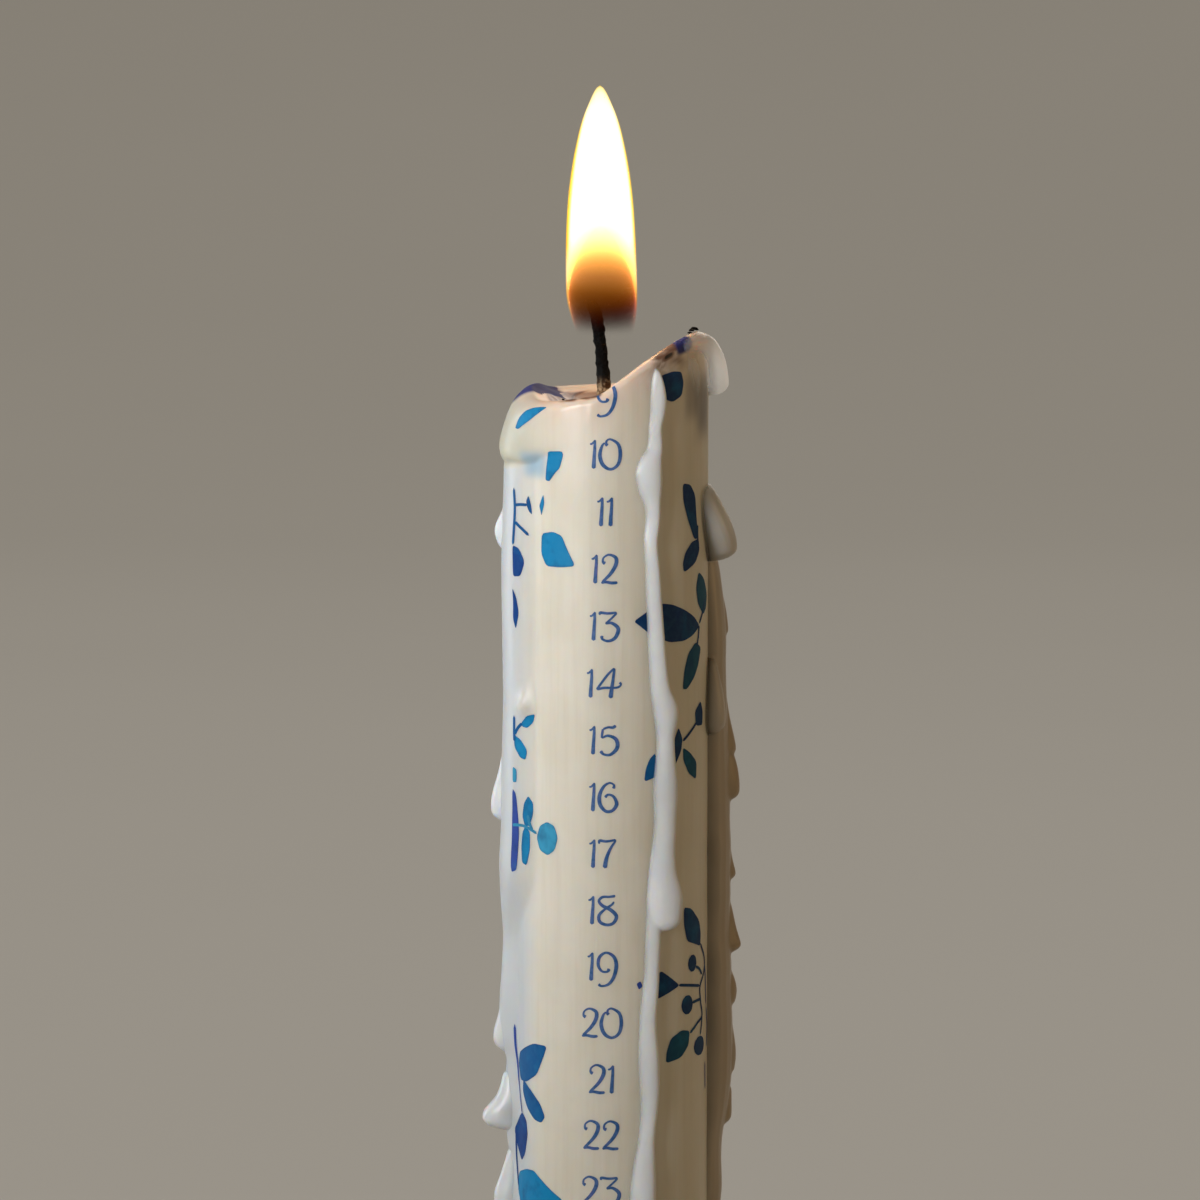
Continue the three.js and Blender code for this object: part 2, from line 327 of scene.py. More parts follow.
# (angle, how far it sags out), (angle, height of its foot), and (share of the way up, form)
SLUMP_OUT = [(-180, 0.2), (-140, 0.9), (-115, 1.8), (-90, 2.0), (-74, 1.8), (-62, 1.25),
             (-51, 0.6), (-41, 0.22), (-28, 0.05), (-15, 0.0), (180, 0.0)]
SLUMP_LOW = [(-180, 111), (-120, 109.4), (-90, 108.7), (-72, 108.8), (-58, 109.4), (-42, 110.8),
             (-10, 112)]
SLUMP_FORM = [(0, 0.0), (0.05, 0.42), (0.12, 0.8), (0.25, 1.0), (0.4, 0.96), (0.6, 0.72),
              (0.75, 0.5), (0.9, 0.26), (1.0, 0.08)]


def slump(angle, height):
    """How far the soft shoulder under the low rim has sagged out, a roll with a blunt foot."""
    most, low = along(SLUMP_OUT, angle), along(SLUMP_LOW, angle)
    t = (height - low) / (along(RIM, angle) - low)
    return most * along(SLUMP_FORM, t) if most > 0 and 0 < t < 1.2 else 0.0


# (height, thickness), and (angle, share of it)
COAT_OUT = [
    (0, 0.3), (12, 0.9), (18, 1.3), (24, 1.6), (27, 1.1), (30.1, 1.6), (36.2, 1.9), (39.6, 1.7),
    (40.9, 2.3), (42.2, 2.7), (47.3, 2.5), (49.7, 2.3), (56.4, 2.0), (63, 2.05), (67.1, 1.85),
    (74.5, 1.75), (83, 1.6), (95, 1.75), (98.9, 1.75), (103.6, 1.6), (107, 1.5), (111, 1.3),
    (114, 0.5), (116, 0.0), (130, 0.0),
]
COAT_FORM = [(-180, 0.0), (-140, 0.0), (-118, 1.0), (-84, 1.0), (-70, 0.80), (-60, 0.30),
             (-52, 0.0), (180, 0.0)]


def tucked(height):
    """How far the film has drawn back round the left side: not at all high up, fully low down."""
    t = clamp((63 - height) / 10)
    return t * t * (3 - 2 * t)


def coat(angle, height):
    """Thickness of the broad film of wax that has run down the left side and set."""
    round_back = clamp((angle + 165) / 40) if angle < 0 else 0.0
    form = along(COAT_FORM, angle + 25 * tucked(height) * round_back)
    return max(form, 0.0) * max(along(COAT_OUT, height), 0.0)


BEAD_ANGLE, BEAD_HIGH = -60, 81.7  # a bead that set at the edge of the film


def ripple(angle, height):
    """How far the skin of the stick swells or dips: gently all over, more where it melted."""
    melted = math.exp(-max(along(RIM, angle) - height, 0.0) / MELTED_DOWN)
    broad = lumps(angle * 0.05, angle * 0.02, height * 0.11)
    fine = lumps(angle * 0.16, 7.0, height * 0.35)
    swollen = max(slump(angle, height), coat(angle, height))
    over = height - BEAD_HIGH
    bead = 0.85 * patch(angle - BEAD_ANGLE, 4.6) * patch(over, 1.6 if over > 0 else 0.8)
    return 0.05 * broad + (0.02 + 0.07 * melted) * fine + swollen + bead


def bowl(angle, out):
    """Height of the bowl at a distance out from the wick, as a share of the way to the rim."""
    rim = along(RIM, angle) - 0.12
    return BOWL_FLOOR + (rim - BOWL_FLOOR) * out ** 1.5


def finish(bm, name, made_of, stands_for=()):
    """Turns a bmesh in millimetres into a smooth piece in metres that rides on the candle."""
    bmesh.ops.scale(bm, vec=(MM, MM, MM), verts=bm.verts)
    data = bpy.data.meshes.new(name)
    bm.to_mesh(data)
    bm.free()
    for face in data.polygons:
        face.use_smooth = True
    data.materials.append(made_of)
    piece = bpy.data.objects.new(name, data)
    bpy.context.scene.collection.objects.link(piece)
    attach(piece, "root")
    if stands_for:
        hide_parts(*stands_for)
    return piece


# The outline is spun first. Its rows for the melted top carry marks for heights, and are laid on
# the shoulder, the lip and the bowl as the loop below comes to them.
STRAIGHT_STEPS, SHOULDER_STEPS, LIP_STEPS, BOWL_STEPS = 150, 44, 12, 34
LIP_MARK, BOWL_MARK = 200, 300
FOOT_ROUND = 0.5

stick = bmesh.new()
line = [(r, 0.0) for r in (BORE, 1.4, 2.2, 4, 6, 8, 9.6, FOOT)]
line += [(FOOT + 0.28, 0.12), (CORE, FOOT_ROUND)]
line += [(CORE, FOOT_ROUND + (STRAIGHT_TO - FOOT_ROUND) * i / STRAIGHT_STEPS)
         for i in range(1, STRAIGHT_STEPS + 1)]
for mark, steps in ((STRAIGHT_TO, SHOULDER_STEPS), (LIP_MARK, LIP_STEPS), (BOWL_MARK, BOWL_STEPS)):
    line += [(CORE, mark + i) for i in range(1, steps + 1)]
line += [(BORE, z) for z in (100.0, 60.0, 20.0)]
stick_verts = [stick.verts.new((r, 0, z)) for r, z in line]
stick_edges = [stick.edges.new(pair)
               for pair in zip(stick_verts, stick_verts[1:] + stick_verts[:1])]
bmesh.ops.spin(stick, geom=stick_verts + stick_edges, cent=(0, 0, 0), axis=(0, 0, 1),
               angle=math.tau, steps=240, use_merge=True)
bmesh.ops.remove_doubles(stick, verts=stick.verts, dist=1e-4)

# Each tint is how much of one finish a spot has, from 0 to 1 and sometimes a little over; some of
# them carry painted light and shade as well.
layers = {name: stick.verts.layers.float.new(name)
          for name in ("melt", "scorch", "stain", "frost", "sag", "veil", "smoke")}
for vert in stick.verts:
    angle = angle_of(vert.co)
    radius = math.hypot(vert.co.x, vert.co.y)
    z = vert.co.z
    rim, lip = along(RIM, angle), along(LIP, angle)
    tint = dict.fromkeys(layers, 0.0)
    if z > BOWL_MARK:
        out = 1 - (z - BOWL_MARK) / BOWL_STEPS
        radius = BORE + (CORE - lip - BOWL_EDGE - BORE) * out
        skin = lumps(angle * 0.022, out * 6 + angle * 0.02, 3.1)
        inner_spur = patch(angle - 60, 60)
        crease = max(1 - 4.5 * abs(skin), 0.0) * (1 - 0.5 * inner_spur)
        pool = clamp((0.90 - out) / 0.14) * (1 - 0.75 * inner_spur)
        z = bowl(angle, out) + 0.14 * crease * pool * out
        spur_skin = patch(angle - 30, 24) * clamp((out - 0.8) / 0.2)
        tongue = 1 - abs(angle + 119) / 23
        # The bowl's floor gets a painted shade, brown with its creases near black, for the shade in
        # the recess. By the spur the tint is burnt film.
        tint["scorch"] = max(pool * (0.66 + 0.7 * crease), spur_skin * (0.6 + crease))
        tint["stain"] = clamp((out - (1 - 0.5 * tongue)) * 12)
        tint["melt"] = 1.0
    elif z > LIP_MARK:
        turn = (z - LIP_MARK) / LIP_STEPS * math.pi / 2
        radius = CORE - lip + lip * math.cos(turn)
        z = rim - lip + lip * math.sin(turn)
    elif z > STRAIGHT_TO + 0.5:
        z = STRAIGHT_TO + (z - STRAIGHT_TO) / SHOULDER_STEPS * (rim - lip - STRAIGHT_TO)
    down = rim - z
    if radius > 8.5 and z > 1:
        sagged = slump(angle, z)
        radius += ripple(angle, z)
        near_rim = math.exp(-max(down, 0) / MELTED_DOWN)
        # Wax near the rim and in the bowl is wet. Its melt gives it a lower roughness, and a peach
        # tint that is a painted glow from the flame.
        tint["melt"] = max(tint["melt"], near_rim) / (1 + 2 * sagged)
        tint["sag"] = min(sagged / 1.2, 1.0)
        # The left half is tinted a cool bluish white. This is partly the set film of wax there and
        # partly painted cool light from the left side.
        if angle < -50:
            away = min((-angle - 50) / 20, (angle + 176) / 40, 1.0)
            tint["frost"] = max(away, 0.0) / (1 + 3 * sagged)
    if radius > 8 and z > rim - 6:
        torn = lumps(angle * 0.16, 1.0, z * 2.2)
        fold = lumps(angle * 0.07, 5.0, z * 1.1)
        spur_skin = patch(angle - 34, 15) * patch(max(down, 0), 2.4)
        # At 34 and 37 degrees, burnt film on the spur. At -20 degrees, a painted shade along the
        # front-left lip, brown torn with black, for the creased recess behind it. At 35 degrees, a
        # painted black shadow in a slit under the crest.
        tint["scorch"] = max(
            tint["scorch"],
            spur_skin * (0.62 + 0.5 * torn + 0.4 * max(1 - 5 * abs(fold), 0)),
            (0.66 + 0.7 * fold) * patch(angle - 37, 16) * patch(down - 0.9, 2.4),
            (0.91 + 1.3 * torn) * patch(angle + 20, 15, 4) * patch(down, 0.28),
            1.7 * patch(angle - 35, 4, 4) * patch(down - 0.8, 0.25, 4))
        tint["stain"] = max(
            tint["stain"],
            1.2 * patch(angle + 116, 21, 4) * patch(down, 1.7, 4),
            patch(angle - 48, 7, 4) * patch(down - 0.3, 1.15, 4))
    if z > 100:
        tint["veil"] = patch(angle + 52, 9.0, 4) * patch(z - 109.6, 1.5, 4)
        # Two patches below the crest, at 55 and 71 degrees, are darkened to grey.
        tint["smoke"] = (0.7 * patch(angle - 55, 7, 4) * patch(z - 117.3, 2.6, 4)
                         + patch(angle - 71, 11, 4) * patch(z - 116.2, 3.6, 4))
    for name, layer in layers.items():
        vert[layer] = tint[name]
    place = on_candle(angle, z, radius)
    place.x += WICK_X * max(0.0, 1 - radius / 9)
    vert.co = place
bmesh.ops.recalc_face_normals(stick, faces=stick.faces)

WAX_FIXED = {
    "Roughness": 0.36,
    "IOR": 1.44,
    "Subsurface Weight": 0.45,
    "Subsurface Radius": (1.0, 0.62, 0.36),
    "Subsurface Scale": 0.0014,
}
ivory, paint, shader = material("ivory_wax", WAX_FIXED)
streaks = paint.cloud(1500, 3.0, (1, 1, 0.04))
mottle = paint.cloud(160, 4.0)
melt = paint.attribute("melt")
scorch = paint.attribute("scorch")
stain = paint.attribute("stain").step(0.1, 0.7)
bare = mottle.step(0.3, 0.75).mix(screen(224, 217, 201), screen(229, 223, 210))
wax = coated(bare,
             (streaks.step(0.40, 0.80) * 0.20, (204, 193, 172)),
             # Painted glow: peach near the rim and in the bowl, standing in for the flame's warm
             # light on the wax.
             (melt * 0.55, (238, 200, 178)),
             # Partly the set film's colour, partly painted cool light on the left side.
             (paint.attribute("frost") * 0.8, (198, 205, 213)),
             (paint.attribute("sag") * 0.9, (196, 193, 175)),
             (paint.attribute("veil") * 0.72, (134, 176, 204)),
             # Grey below the crest at 55 and 71 degrees.
             (paint.attribute("smoke") * 0.7, (92, 84, 88)),
             # Burnt film and char, and also painted shade in the bowl, along the front-left lip and
             # in the slit under the crest.
             (scorch.step(0.05, 0.9) * 0.9, (104, 66, 46)),
             (scorch.step(1.0, 1.5) * 0.95, (26, 15, 11)),
             (stain * 0.97, (26, 40, 116)))
feed(shader, base_color=wax, roughness=0.40 - melt * 0.12 + stain * 0.35,
     normal=paint.bump(streaks * 0.4 + mottle * 0.6, 0.00010, 0.5))
finish(stick, "wax_stick", ivory, ["wax_body"])


# ---- Runs of wax ------------------------------------------------------------------------------
# Wax that spilled over the rim, ran down and set: milky, rounded and cooler in colour than the
# stick. Each run is a closed tube laid on the stick through stations of
# (angle, height, half its width, how far it stands out), fused with its neighbours and smoothed.
# Where a run is thin, the stick and its print show through it.
ROOT = 0.8                         # how deep its middle lies in the stick
BED = 0.25                         # how deep its edges lie in the stick
RUN_STEP = 0.4


def on_ball(vert):
    """How far down a ball a vertex of it lies, from 0 to 1, and its turn round the ball."""
    down = math.acos(min(max(vert.co.z, -1.0), 1.0)) / math.pi
    return down, math.atan2(vert.co.y, vert.co.x)


def rounded(t):
    """How full a round end is, from 0 at its tip to 1 where t is 1 or more."""
    return math.sqrt(max(0.0, 1 - (1 - min(t, 1.0)) ** 2))


def lay_run(bm, stations, flat=1.0, ridge=0.0, ends=(0.9, 1.5)):
    """Lays one tube. flat under 1 squares its section and over 1 makes it bell-shaped. ridge
    moves its crest to the right, to a steep edge. ends are the lengths its ends take to round."""
    rows, so_far = [], 0.0
    for angle, height, half, out in stations:
        spot = Vector((math.radians(angle) * CORE, height))
        if rows:
            so_far += (spot - last).length
        rows.append((so_far, spot.x, spot.y, half, out))
        last = spot
    rings = max(16, round(so_far / RUN_STEP))
    made = bmesh.ops.create_uvsphere(bm, u_segments=24, v_segments=rings, radius=1.0)
    for vert in made["verts"]:
        down, turn = on_ball(vert)
        share = 0.6 * down + 0.4 * (0.5 - 0.5 * math.cos(down * math.pi))
        here = share * so_far
        spot = Vector((along(rows, here, 1), along(rows, here, 2)))
        ahead = Vector((along(rows, here + 0.05, 1), along(rows, here + 0.05, 2)))
        behind = Vector((along(rows, here - 0.05, 1), along(rows, here - 0.05, 2)))
        heading = (ahead - behind).normalized()
        right = Vector((-heading.y, heading.x))
        full = rounded(min(here / ends[0], (so_far - here) / ends[1]))
        wander = 1 + 0.07 * lumps(stations[0][0], 0.3, spot.y * 0.25)
        half = along(rows, here, 3) * full * wander
        out = along(rows, here, 4) * full * wander
        side, up = math.cos(turn), -math.sin(turn)
        lift = abs(up) ** flat
        if ridge and side < ridge:
            lift = math.cos((ridge - side) / (1 + ridge) * math.pi / 2) ** 0.8
        elif ridge:
            lift = math.sqrt(max(0.0, 1 - ((side - ridge) / (1 - ridge)) ** 2))
        spot += right * side * half
        angle = math.degrees(spot.x / CORE)
        inner = wall(angle, spot.y) - BED
        radius = inner + ((out + BED) * lift if up > 0 else -ROOT * full * abs(up) ** 0.5)
        vert.co = on_candle(angle, spot.y, radius)


def fuse(bm, name, voxel):
    """Joins overlapping closed shapes into one skin and softens it. Returns a new bmesh."""
    data = bpy.data.meshes.new(name + "_rough")
    bm.to_mesh(data)
    bm.free()
    rough = bpy.data.objects.new(name + "_rough", data)
    bpy.context.scene.collection.objects.link(rough)
    remesh = rough.modifiers.new("fuse", "REMESH")
    remesh.mode = "VOXEL"
    remesh.voxel_size = voxel
    soften = rough.modifiers.new("soften", "SMOOTH")
    soften.factor = 0.5
    soften.iterations = 5
    bpy.context.view_layer.update()
    ready = rough.evaluated_get(bpy.context.evaluated_depsgraph_get())
    fused = bmesh.new()
    fused.from_mesh(ready.to_mesh())
    bpy.data.objects.remove(rough)
    bpy.data.meshes.remove(data)
    return fused


# The milky wax's emission strength serves only the painted glow of runs near the flame.
milky, paint, shader = material("milky_wax", {
    **WAX_FIXED, "Roughness": 0.30, "Emission Strength": 0.26})
mottle = paint.cloud(260, 4.0)
streaks = paint.cloud(520, 2.0, (1, 1, 0.12))
bare = mottle.step(0.3, 0.7).mix(screen(222, 225, 229), screen(230, 232, 234))
wax = coated(bare,
             (streaks.step(0.5, 0.8) * 0.2, (208, 210, 212)),
             # Painted shade: brown on the runs of the right side, and half as much on the back.
             (paint.attribute("shade"), (172, 152, 122)),
             # Painted glow: peach near the rim, standing in for the flame's warm light.
             (paint.attribute("melt") * 0.35, (238, 212, 194)))
# Painted glow: thick runs high up near the flame, mostly on the right, glow a warm white. This
# stands in for flame light passing through the wax.
painted_glow_colour = paint.attribute("through").mix((0, 0, 0, 1), (1.0, 0.95, 0.88, 1))
feed(shader, base_color=wax, alpha=paint.attribute("cover"), emission_color=painted_glow_colour,
     normal=paint.bump(mottle * 0.5 + streaks * 0.5, 0.00016, 0.4))

# voxel is how finely a group is fused. Wax thinner than its haze is see-through, and power says
# how sharply. The last values of a run are lay_run's flat, ridge and ends.
RUN_GROUPS = {
    "wax_runs_front": {"voxel": 0.14, "haze": 0.26, "power": 1.2, "runs": [
        ([(25.4, 120.9, 0.25, 0.35), (26.2, 119.6, 0.65, 0.7), (27.0, 117.4, 1.05, 0.85),
          (26.6, 115.8, 1.05, 0.8), (25.0, 114.0, 0.9, 0.75), (24.6, 111.6, 1.05, 0.85),
          (22.2, 110.2, 1.45, 1.0), (21.0, 108.7, 1.75, 1.1), (21.6, 107.2, 1.65, 1.1),
          (23.2, 105.2, 1.1, 0.95), (23.4, 103.4, 0.95, 0.85), (22.2, 101, 0.9, 0.85),
          (23.2, 98, 0.98, 0.85), (24.2, 94.5, 1.1, 0.9), (26, 88.8, 1.1, 0.95),
          (28.2, 84.2, 1.3, 1.05), (31.6, 81.6, 1.6, 1.25), (31.6, 78.5, 1.2, 1.0),
          (31.8, 72.8, 1.6, 1.1), (31.3, 68.2, 1.5, 1.1), (29.5, 63.6, 1.7, 1.4),
          (30.5, 60.2, 2.1, 1.9), (30.2, 56.3, 1.7, 1.75)], 0.5, 0.62),
        ([(24.5, 60, 1.1, 0.7), (23, 51, 1.05, 0.8), (20.8, 46.3, 1.15, 0.9),
          (21.2, 41.7, 1.35, 1.0), (21.9, 37, 1.2, 0.95), (19.9, 32.4, 1.05, 0.95),
          (18.7, 29.8, 1.4, 1.15), (17.5, 26.5, 1.65, 1.4), (17, 22.5, 1.5, 1.3),
          (17, 18.9, 1.6, 1.5)], 0.5, 0.55),
    ]},
    "wax_runs_left": {"voxel": 0.18, "haze": 0.5, "power": 1.3, "runs": [
        ([(-106, 107, 1.3, 1.4), (-106, 103.6, 1.5, 2.2), (-105, 101.2, 1.8, 3.05),
          (-105, 98.2, 1.4, 2.2)], 1.0),
        ([(-100, 80, 1.3, 1.3), (-100, 73.5, 1.5, 2.3), (-99, 70.0, 1.8, 3.35),
          (-99, 67.1, 1.5, 3.2)], 1.0),
        ([(-100, 50, 1.7, 2.0), (-100, 45, 1.9, 2.5), (-100, 42.2, 2.0, 3.05),
          (-100, 39.9, 1.6, 2.6)], 1.0),
        ([(-96, 38.5, 1.1, 1.7), (-96, 35.2, 1.7, 2.6), (-96, 33.2, 1.9, 4.3),
          (-96, 31.0, 1.6, 4.3)], 0.8),
        ([(-94, 29.5, 1.1, 1.0), (-95, 25.8, 1.5, 2.2), (-95, 23.4, 1.7, 2.95),
          (-95, 20.2, 1.4, 2.4)], 1.0),
        ([(-58, 97, 0.35, 0.10), (-60, 90, 0.4, 0.3), (-61, 84.5, 0.5, 0.6)], 1.1),
    ]},
    "wax_runs_right": {"voxel": 0.18, "haze": 0.75, "power": 1.4, "runs": [
        ([(46, 122.7, 0.8, 0.30), (57, 123.3, 1.1, 0.70), (68, 123.2, 1.45, 1.05),
          (78, 122.2, 1.7, 1.6), (86, 120.4, 1.75, 2.15), (90, 118.6, 1.65, 2.35),
          (91, 116.9, 1.45, 2.25)], 0.9),
        ([(50, 122.4, 0.9, 0.3), (57, 120.2, 1.6, 0.35), (62, 116.5, 1.4, 0.15)], 1.4, 0,
         (2, 3)),
        ([(72, 107.0, 1.5, 0.5), (77, 104.8, 2.2, 1.7), (82, 102.4, 2.3, 2.7),
          (86, 99.9, 2.1, 3.3), (87, 97.9, 1.8, 3.05)], 0.9),
        ([(104, 100.5, 1.5, 0.6), (104, 97, 3.1, 1.6), (105, 90, 3.9, 2.5), (106, 82, 4.0, 2.5),
          (106, 72, 4.0, 3.0), (106, 60, 4.1, 3.1), (106, 48, 4.1, 3.2), (106, 38, 4.0, 3.4),
          (105, 30, 3.6, 2.1), (104, 24, 3.2, 2.1), (103, 20.8, 2.4, 1.8),
          (103, 18.8, 1.7, 1.5)], 1.0),
        ([(103, 95, 1.4, 1.9), (103, 91.5, 1.7, 2.5), (103, 88.3, 1.7, 3.0)], 1.0),
        ([(84, 87, 0.9, 0.9), (84, 83.5, 1.5, 1.7), (84, 80.0, 1.8, 2.1),
          (84, 77.9, 1.5, 2.0)], 1.0),
        ([(103, 84, 1.4, 2.2), (103, 78.2, 1.7, 3.3), (103, 74.3, 1.7, 3.9)], 1.0),
        ([(102, 77, 1.3, 2.6), (102, 73.4, 1.6, 4.0), (102, 69.2, 1.6, 3.9)], 1.0),
        ([(103, 67, 1.4, 2.6), (103, 63.4, 1.6, 3.3), (103, 59.8, 1.6, 4.0)], 1.0),
        ([(102, 59, 1.3, 2.7), (102, 54.8, 1.5, 3.8), (102, 51.4, 1.5, 4.75)], 1.0),
        ([(103, 51, 1.5, 2.9), (103, 47.4, 1.8, 3.8), (103, 44.6, 1.6, 3.4)], 1.0),
        ([(103, 44.6, 1.6, 3.3), (103, 40.6, 1.9, 3.75), (103, 36.6, 1.7, 3.5)], 1.0),
        ([(102, 36.6, 1.4, 3.1), (102, 33.4, 1.7, 3.35), (102, 31.0, 1.5, 3.0)], 1.0),
    ]},
    "wax_runs_back": {"voxel": 0.21, "haze": 0.45, "power": 1.2, "runs": [
        ([(124, 120.2, 1.0, 0.3), (128, 112, 1.4, 1.0), (127, 96, 1.6, 1.2),
          (129, 80, 1.4, 1.2), (131, 66, 1.8, 1.9), (131, 59, 2.1, 2.5)], 0.8),
        ([(146, 118.2, 0.9, 0.2), (149, 104, 1.1, 0.9), (148, 86, 1.2, 1.0),
          (151, 64, 1.3, 1.1), (150, 44, 1.5, 1.3), (151, 33, 1.9, 1.7)], 0.8),
        ([(178, 117.6, 1.1, 0.2), (179, 108, 1.4, 0.7), (177, 98, 1.7, 1.0),
          (178, 91, 2.1, 1.3)], 0.8),
        ([(-148, 117.3, 1.2, 0.2), (-151, 100, 1.4, 1.0), (-149, 82, 1.3, 1.1),
          (-152, 60, 1.4, 1.2), (-151, 40, 1.5, 1.3), (-152, 19.5, 1.9, 1.7)], 0.8),
        ([(-132, 117, 1.4, 0.3), (-133, 98, 1.8, 1.2), (-132, 76, 1.7, 1.3),
          (-133, 55, 2.2, 2.4)], 0.8),
    ]},
}
for name, group in RUN_GROUPS.items():
    blank = bmesh.new()
    for run in group["runs"]:
        lay_run(blank, *run)
    skin = fuse(blank, name, group["voxel"])
    layers = [skin.verts.layers.float.new(key) for key in ("cover", "shade", "melt", "through")]
    for vert in skin.verts:
        angle, z = angle_of(vert.co), vert.co.z
        deep = math.hypot(vert.co.x, vert.co.y) - wall(angle, z) - ripple(angle, z)
        cover = 1 - math.exp(-(max(deep, 0.0) / group["haze"]) ** group["power"])
        limb = clamp((abs(angle) - 80) / 8)
        # Painted shade: runs on the right, away from the key light, are tinted brown below the
        # crest. Hanging drops get less of it, and the back runs get half.
        hanging = 1 - 0.7 * patch(z - 102.5, 4) * (angle < 96)
        brown = clamp((118 - z) / 8) * clamp((angle - 50) / 50) * hanging
        # near_flame marks the thick wax high up by the flame, which gets the painted glow in
        # through.
        near_flame = patch(z - 119.5, 5) * clamp(deep / 1.2)
        tints = (max(cover, limb), brown if angle < 150 else 0.5,
                 math.exp(-max(along(RIM, angle) - z, 0) / 3.0), near_flame * patch(angle - 80, 30))
        for layer, tint in zip(layers, tints):
            vert[layer] = tint
    finish(skin, name, milky, ["wax_body"])


# ---- Printed numbers --------------------------------------------------------------------------
# The countdown, 9 to 24, printed in blue down the front: curly old-style figures, 3.5 mm high
# and 6.5 mm apart. The 9 is half melted away with the rim. Each figure is a few pen strokes,
# (x, y, width) in millimetres from the foot of the figure, laid on the wax as a thin film.
FILM = 0.03
STROKES = {
    "0": [[(0.95, 2.72, 0.40), (0.78, 2.92, 0.30), (0.90, 3.30, 0.20), (1.35, 3.40, 0.24),
           (2.15, 2.85, 0.34), (2.38, 1.70, 0.40), (2.10, 0.55, 0.34), (1.30, 0.04, 0.30),
           (0.45, 0.50, 0.40), (0.08, 1.55, 0.40), (0.30, 2.60, 0.28), (0.62, 3.05, 0.16)]],
    "1": [[(0.60, 3.38, 0.26), (0.58, 2.4, 0.32), (0.50, 1.2, 0.38), (0.44, 0.06, 0.46)],
          [(0.02, 2.86, 0.20), (0.30, 2.93, 0.22), (0.66, 3.34, 0.18)]],
    "2": [[(0.52, 2.36, 0.42), (0.26, 2.55, 0.28), (0.34, 3.02, 0.20), (0.95, 3.36, 0.24),
           (1.70, 3.02, 0.38), (1.72, 2.25, 0.42), (1.15, 1.25, 0.36), (0.10, 0.16, 0.26)],
          [(0.04, 0.16, 0.24), (0.60, 0.26, 0.30), (1.25, 0.16, 0.34), (1.92, 0.20, 0.30)]],
    "3": [[(0.10, 3.00, 0.18), (0.16, 3.28, 0.30), (1.00, 3.20, 0.28), (2.02, 3.30, 0.26)],
          [(2.02, 3.26, 0.22), (1.40, 2.62, 0.22), (0.72, 2.02, 0.22)],
          [(0.72, 2.02, 0.20), (1.45, 2.10, 0.32), (2.18, 1.45, 0.42), (1.85, 0.45, 0.38),
           (1.10, 0.06, 0.30), (0.42, 0.25, 0.26), (0.30, 0.66, 0.40)]],
    "4": [[(2.10, 3.48, 0.22), (1.40, 2.80, 0.26), (0.60, 1.75, 0.26), (0.08, 1.02, 0.26)],
          [(0.08, 1.02, 0.26), (0.90, 1.22, 0.28), (1.80, 1.22, 0.26), (2.52, 1.30, 0.24),
           (2.84, 1.62, 0.20), (2.66, 1.84, 0.30)],
          [(2.10, 3.48, 0.26), (1.94, 2.20, 0.32), (1.78, 1.10, 0.40), (1.64, 0.02, 0.48)]],
    "5": [[(0.52, 3.02, 0.24), (1.10, 3.22, 0.24), (1.62, 3.20, 0.30), (1.98, 3.42, 0.34)],
          [(0.50, 3.04, 0.24), (0.42, 2.50, 0.26), (0.36, 1.98, 0.20)],
          [(0.36, 1.98, 0.20), (1.10, 2.26, 0.28), (1.98, 1.85, 0.40), (2.12, 0.90, 0.42),
           (1.40, 0.12, 0.32), (0.62, 0.12, 0.26), (0.22, 0.52, 0.42)]],
    "6": [[(1.72, 2.70, 0.38), (1.78, 3.10, 0.24), (1.30, 3.36, 0.22), (0.62, 2.95, 0.30),
           (0.14, 1.90, 0.40), (0.22, 0.85, 0.42), (0.85, 0.12, 0.34), (1.60, 0.20, 0.34),
           (2.08, 0.95, 0.40), (1.72, 1.80, 0.30), (1.12, 2.02, 0.24), (0.76, 1.70, 0.36)]],
    "7": [[(0.08, 2.86, 0.20), (0.16, 3.24, 0.30), (0.90, 3.16, 0.28), (2.02, 3.34, 0.24)],
          [(2.02, 3.34, 0.20), (1.36, 2.30, 0.30), (0.92, 1.20, 0.40), (0.72, 0.06, 0.50)]],
    "8": [[(2.06, 3.40, 0.30), (1.40, 3.30, 0.26), (0.60, 3.26, 0.28), (0.18, 2.80, 0.30),
           (0.60, 2.26, 0.36), (1.50, 1.80, 0.40), (2.16, 1.08, 0.40), (1.85, 0.30, 0.34),
           (1.10, 0.06, 0.32), (0.30, 0.40, 0.36), (0.20, 1.15, 0.34), (0.85, 1.85, 0.26),
           (1.65, 2.40, 0.24), (1.90, 2.74, 0.20)]],
    "9": [[(1.46, 1.52, 0.42), (1.22, 1.18, 0.26), (0.62, 1.22, 0.26), (0.20, 1.90, 0.34),
           (0.36, 2.86, 0.34), (1.10, 3.36, 0.26), (1.95, 2.92, 0.36), (2.26, 1.90, 0.42),
           (1.98, 0.60, 0.38), (1.40, -0.25, 0.30), (0.62, -0.50, 0.24),
           (0.20, -0.30, 0.36)]],
}
ADVANCE = {"1": 1.08, "2": 2.22}   # from the left of a first figure to the left of the next
WIDTH = {"0": 2.45, "1": 0.72, "2": 1.95, "3": 2.25, "4": 2.85, "5": 2.2, "6": 2.15,
         "7": 2.05, "8": 2.2, "9": 2.3}
FIRST, LAST = 9, 24
LAST_HIGH = 20.0                   # height of the middle of the lowest number
FIGURE_PITCH = 6.505
FIGURE_HIGH = 3.45
COLUMN = [(20, -1.46), (33, -1.36), (111, -0.85), (124, -0.8)]     # (height, sideways)


def lay_film(verts, lift=FILM):
    """Wraps flat vertices, (sideways, height) in their x and y, on the stick."""
    for vert in verts:
        angle = math.degrees(vert.co.x / CORE)
        height = vert.co.y
        vert.co = on_candle(angle, height, wall(angle, height) + ripple(angle, height) + lift)


